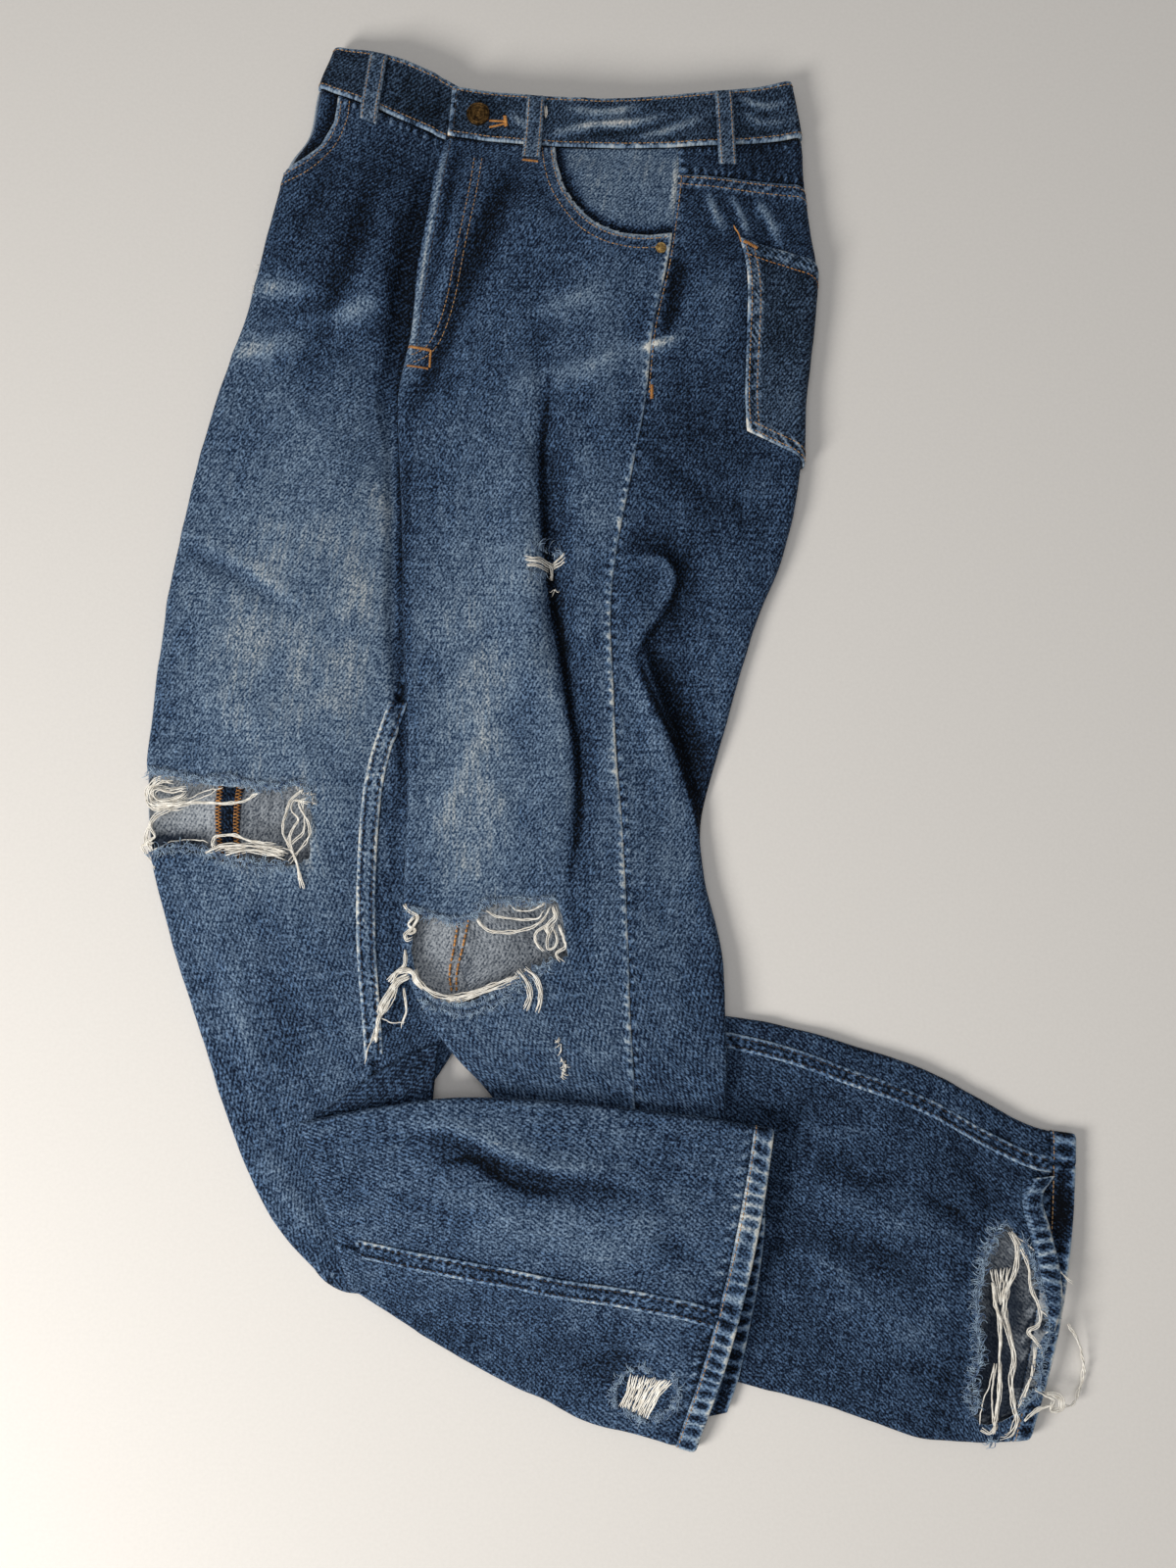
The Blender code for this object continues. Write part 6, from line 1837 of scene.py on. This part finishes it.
# %% The hem rip and its loops
lie = lie_of("back_left_calf", "hem_left_back")
LEFT_EDGE = (
    (266, -346), (258, -358), (253, -376), (249, -395), (249, -415), (250, -432), (245, -452), (246, -472),
)
RIGHT_EDGE = (
    (281, -356), (288, -370), (294, -385), (298, -402), (297, -418), (291, -436), (289, -452), (277, -470),
)
for layer in (0, 1):
    fringe(fuzz, LEFT_EDGE, lie, 165 - 130 * layer, 6.0, depth=1.0, curl=1.4, seed=60 + layer)
    fringe(fuzz, RIGHT_EDGE, lie, 215 - 150 * layer, 5.5, depth=1.0, curl=1.6, seed=64 + layer)
hang = (1.2, 0.4, 0.2, 0.6, 1.4)
HEM_LOOPS = (
    (((273, -350), (277, -361), (275, -376), (269, -389), (267, -403), (270, -417), (273, -433),
      (271, -446), (272, -461), (274, -473), (269, -483), (259, -486)), 4, 1.6),
    (((275, -352), (282, -367), (285, -377), (286, -389), (291, -401), (290, -410), (283, -415),
      (286, -420), (291, -426), (292, -434)), 3, 1.0),
    (((291, -400), (298, -410), (294, -417)), 1, 0.1),
    (((274, -351), (283, -358), (295, -367), (305, -376), (316, -386)), 2, 0.4),
    (((259, -383), (261, -397), (264, -412), (263, -435), (263, -454), (260, -473), (258, -483)), 4, 1.2),
    (((259, -436), (256, -450), (251, -466), (249, -481)), 1, 0.2),
    (((260, -436), (258, -461), (259, -481)), 2, 0.7),
    (((250, -480), (256, -483), (261, -478), (257, -484)), 3, 1.2),
    (((287, -425), (285, -442), (281, -454), (274, -468)), 3, 0.8),
    (((286, -453), (295, -458), (301, -461)), 3, 1.6),
    (((279, -474), (288, -467), (298, -463)), 4, 0.9),
    (((294, -456), (303, -458), (304, -466), (297, -467), (299, -460)), 4, 1.4),
)
for path, strands, spread in HEM_LOOPS:
    yarn(white, path, lie, strands, spread, hang, seed=len(path) + 7 * strands)
for k in range(9):
    path = ((258 + 1.7 * k, -375 + 0.2 * k), (263 + 0.3 * k, -399))
    yarn(white, path, lie, 1, 0.1, (0.3, -0.6), seed=80 + k)
loop = ((309, -410), (316, -420), (321, -433), (322, -445), (318, -458), (313, -465), (303, -464))
yarn(white, loop, lie, 3, 0.7, (0, -5, -8, -9, -8, -4, 1), twist=1.6, seed=90)
fringe(fuzz, ((254, -486), (259, -488)), lie, -90, 5.0, 0.3, seed=91)
print("yarn points after the hem:", white.count, "white,", fuzz.count, "blue")

# %% The lower layer of the right hem, and the curled corner of the left one
def hem_band(name, inner, outer, lie, above, crown, tone, seed):
    """A strip of hem between two lines, lifted off the cloth below by the heights in above and, in
    its middle, by crown."""
    t, s = np.meshgrid(np.linspace(0, 1, 90), np.linspace(0, 1, 12), indexing="ij")
    last = len(outer) - 1
    a, b = through(inner, t * last), through(outer, t * last)
    flat_spot = a + (b - a) * s[..., None]
    steps = np.linalg.norm(np.diff(b[:, 0], axis=0, prepend=b[:1, 0]), axis=1)
    along = np.cumsum(steps)[:, None] + 0 * s
    beside = np.linalg.norm(b - a, axis=-1) * (1 - s)
    rise, worn, shade = edge_relief("hem", beside, along, seed)
    x, y = flat_spot[..., 0], flat_spot[..., 1]
    height = lies(lie, x.ravel(), y.ravel()).reshape(x.shape) + rise
    height = height + np.interp(t, np.linspace(0, 1, len(above)), above) + crown * 4 * s * (1 - s)
    middle = np.stack((x, y, height), -1)
    weave = np.stack((along, beside), -1)
    patch(name, middle, 0.7, weave, tone + shade, worn)


LOWER_HEM = ((106, -326), (106, -345), (102, -379), (94, -419), (87, -450), (80, -470))
CORNER_INNER = ((282, -315), (281, -331), (286, -353), (292, -376), (296, -396), (296, -414))
CORNER_OUTER = ((303, -313), (294, -327), (299, -349), (304, -374), (305, -396), (300, -414))
hem_band("hem_right_lower_layer", [(x - 15, y - 3) for x, y in LOWER_HEM], LOWER_HEM,
         lie_of("back_left_calf"), (2.0, 2.0), 0, 0.08, 41)
hem_band("hem_left_curled_corner", CORNER_INNER, CORNER_OUTER,
         lie_of("back_left_calf", "hem_left_back"), (4.5, 4.5, 3.5, 2.6, 1.6, 0.6), 1.2, 0.34,
         43)

# %% The worn patch, the small hole and the snags
lie = lie_of("front_right_calf")
for k in range(26):
    foot, head = (8 + 0.75 * k, -465 - 0.32 * k), (15 + 1.15 * k, -441 - 0.15 * k)
    bulge = ((foot[0] + head[0]) / 2 + 0.8, -454)
    yarn(white, (foot, bulge, head), lie, 1, 0.1, (0.1, 0.5, 0.1), seed=k)
PATCH_EDGES = (  # edge, degrees and seed
    (((17, -438), (9, -445), (5, -456), (6, -466)), 160, 100),
    (((28, -472), (40, -466), (47, -454)), -40, 101), (((46, -452), (42, -442)), 10, 102),
    (((20, -438), (28, -440)), 80, 103), (((10, -466), (26, -474)), -80, 104),
)
for edge, degrees, seed in PATCH_EDGES:
    fringe(fuzz, edge, lie, degrees, 5.5, 0.35, 2.6, seed=seed)
lie = lie_of("front_left")
for k in range(9):
    y = 112 - 0.9 * k
    yarn(white, ((-58 + 0.3 * k, y), (-48, y), (-38 - 0.4 * k, y - 3)), lie, 1, 0.1, (0.2, 1.0, 0.3),
         radius=0.36, seed=110 + k)
for k in range(6):
    path = ((-39, 109 - 0.7 * k), (-33, 113 - k), (-29, 117 - 1.2 * k))
    yarn(white, path, lie, 1, 0.1, (0.2, 0.7, 0.2), seed=120 + k)
yarn(white, ((-41, 109), (-39, 103), (-40, 97)), lie, 3, 0.8, seed=127)
fringe(white, ((-38, 91), (-35, 90)), lie, -60, 3.5, 0.5, seed=128)
SNAG_ENDS = (  # yarn, edge, degrees, length, spacing, curl and seed
    (fuzz, ((-51, 116), (-46, 118), (-40, 117)), 80, 8.0, 0.35, 0.8, 129),
    (fuzz, ((-56, 103), (-49, 101), (-42, 101)), -90, 5.0, 0.4, 1.6, 130),
    (fuzz, ((-38, 114), (-31, 117)), 100, 5.0, 0.4, 1.2, 131),
    (white, ((-33, -219), (-32, -229)), -100, 4.0, 0.9, 0.8, 132),
    (white, ((-31, -234), (-29, -239), (-31, -245)), -60, 3.5, 0.5, 1.6, 133),
)
for pile, edge, degrees, length, every, curl, seed in SNAG_ENDS:
    fringe(pile, edge, lie, degrees, length, every, curl, seed=seed)
lie = lie_of("front_right")
fringe(white, ((-253, 317), (-254, 306)), lie, 190, 3.0, 1.2, 1.2, 0.2, seed=134)
fringe(white, ((-252, 330), (-253, 325)), lie, 190, 3.5, 1.0, 1.2, 0.2, seed=135)
yarn(white, ((-44, 440), (-43.4, 435), (-43.8, 430)), lie_of("waistband_left"), 2, 0.5, (0.6, 1.0, 0.6),
     radius=0.5, seed=140)
white.finish("torn_white_weft", CREAM, "torn_weft")
fuzz.finish("torn_blue_warp", BLUE_FUZZ, "torn_weft")

# %% [markdown]
# ## Inside the knees
# Through the right knee shows the outseam from inside: its two allowances are pressed open, so each
# raw edge has orange overlock stitches with a strip of unfaded cloth between them. Through the left
# knee shows the wrong side of a double row.

# %% Overlocked allowances and inner rows
def inner_height(lie, names, x, y):
    """The height of the layer under a torn one, whichever of these pieces it is."""
    start = float(lies(lie, [x], [y])[0]) - 2.5
    hits = [tree_of(name).ray_cast((x, y, start), (0, 0, -1))[0] for name in names]
    return max([hit[2] for hit in hits if hit] or [1.0])


ROWS, COLUMNS = 30, 9
share_across, share_down = np.meshgrid(np.linspace(0, 1, COLUMNS), np.linspace(0, 1, ROWS))
strip_x = -275 + 3.5 * (share_down - 0.4) ** 2 * 4 + share_across * (19 - 4 * share_down)
strip_y = -38 - 64 * share_down
lie = lie_of("front_right")
strip_z = np.array([
    inner_height(lie, ("front_right", "back_right"), x, y) for x, y in zip(strip_x.flat, strip_y.flat)])
from_middle = 2 * share_across - 1
middle = np.stack((strip_x, strip_y, strip_z.reshape(strip_x.shape) + 1.1 - 0.5 * from_middle ** 4), -1)
patch("outseam_allowance", middle, 0.35, middle[..., :2], 0.02 + 0 * strip_x, 0.25 * abs(from_middle) ** 6)

orange = Pile()
k = np.arange(52)


def on_strip(column, row):
    """Points of the allowance along one of its columns."""
    return np.stack([np.interp(row, np.arange(ROWS), middle[:, column, i]) for i in range(3)], -1)


for column in (1, COLUMNS - 2):
    row = 0.5 + 28 * k / 52
    start, end = on_strip(column - 1, row), on_strip(column + 1, row + 0.9 * (-1) ** k)
    share = np.linspace(0, 1, 5)[:, None]
    centres = start[:, None] + (end - start)[:, None] * share
    centres[..., 2] += 0.35 + 0.5 * np.sin(math.pi * share[:, 0])
    orange.tube(centres, 0.34 * np.array((0.8, 1, 1, 1, 0.8)), upward(len(k)))
lie = lie_of("front_left")
for path in (((-103, -139), (-106, -158), (-109, -176), (-107, -192)),
             ((-96, -139), (-100, -158), (-104, -176), (-104, -192))):
    line = fine_line(path, 14)
    high = [inner_height(lie, ("front_left", "back_left"), x, y) + 0.5 for x, y in line]
    sew(orange, (np.column_stack((line, high)), upward(len(line))), pitch=3.4, radius=0.75, seed=16)
yarn(orange, ((90, 352), (94.4, 344), (97, 332)), lie_of("back_left"), 1, 0.1, (0.8, 1.6, 0.8),
     radius=0.5, seed=141)
orange.finish("inner_orange_stitches", ORANGE, "topstitch")

# %% [markdown]
# ## The button and the rivet
# Both are brass that has gone brown, and the rivet is rubbed bright again. The button is a shallow
# dish: a rolled rim, a groove and a low boss. Each is drawn from one cylinder by insets and
# extrusions, as on a lathe, then its edges are rounded.

# %% Antique brass
def brass(name, dark, bright):
    """Cast brass under a patina in patches about 2.4 mm wide, which dulls its shine."""
    material, tree, principled = new_material(name, Metallic=0.9, Roughness=0.42)
    mottle(tree, principled, 420.0, dark, bright, 0.35, 0.7, 3.0)
    return material


BROWN_BRASS = brass("antique_brass", "#2a1e12", "#7d6038")
RUBBED_BRASS = brass("rubbed_brass", "#6a5130", "#c4a568")


def top_face(thing):
    """Selects the round face on top, which has the most corners, and goes back to edit mode."""
    bpy.ops.object.mode_set(mode="OBJECT")
    faces = thing.data.polygons
    best = max((f for f in faces if f.normal.z > 0.9), key=lambda f: (len(f.vertices), f.index))
    for group in (faces, thing.data.edges, thing.data.vertices):
        group.foreach_set("select", [False] * len(group))
    best.select = True
    bpy.ops.object.mode_set(mode="EDIT")


def round_stud(name, metal, leg, x, v, lift, radius, height, steps):
    """A turned brass stud seated on a leg. steps are pairs: how far in, then how far up, in mm."""
    turn = leg.top(v, leg.reach(v, x))
    way = unit(leg.normal(turn, v))
    bpy.ops.object.select_all(action="DESELECT")
    bpy.ops.mesh.primitive_cylinder_add(vertices=56, radius=radius * MM, depth=height * MM)
    thing = bpy.context.active_object
    bpy.ops.object.mode_set(mode="EDIT")
    bpy.ops.mesh.select_mode(type="FACE")
    for inward, up in steps:
        top_face(thing)
        bpy.ops.mesh.inset(thickness=inward * MM)
        if up:
            bpy.ops.mesh.extrude_region_move(TRANSFORM_OT_translate={"value": (0, 0, up * MM)})
    bpy.ops.object.mode_set(mode="OBJECT")
    bevel = thing.modifiers.new("rounded", "BEVEL")
    bevel.width = 0.035 * radius * MM
    bevel.segments = 3
    bpy.ops.object.modifier_apply(modifier=bevel.name)
    bpy.ops.object.shade_smooth_by_angle(angle=math.radians(40))
    thing.name = name + "_brass"
    thing.data.materials.append(metal)
    thing.location = (leg.point(turn, v) + way * (lift + height / 2)) * MM
    thing.rotation_euler = Vector(way).to_track_quat("Z", "Y").to_euler()
    bpy.ops.object.transform_apply(location=True, rotation=True, scale=True)
    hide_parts(name)
    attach(thing, "root")
    print(f"{name}: {len(thing.data.polygons)} faces")


round_stud("button", BROWN_BRASS, LEFT, -92, 0.5, DOUBLE / 2 + 0.5, 8.2, 2.6,
           ((0.9, -0.45), (0.5, 0.35), (1.5, -0.5), (0.4, 0.55), (2.4, -0.7), (0.5, 0.5), (0.8, -0.5)))
round_stud("rivet", RUBBED_BRASS, LEFT, 38, 3.66, CLOTH / 2 + 0.5, 3.8, 1.2,
           ((0.7, -0.4), (0.8, 0.7), (0.9, 0.4)))
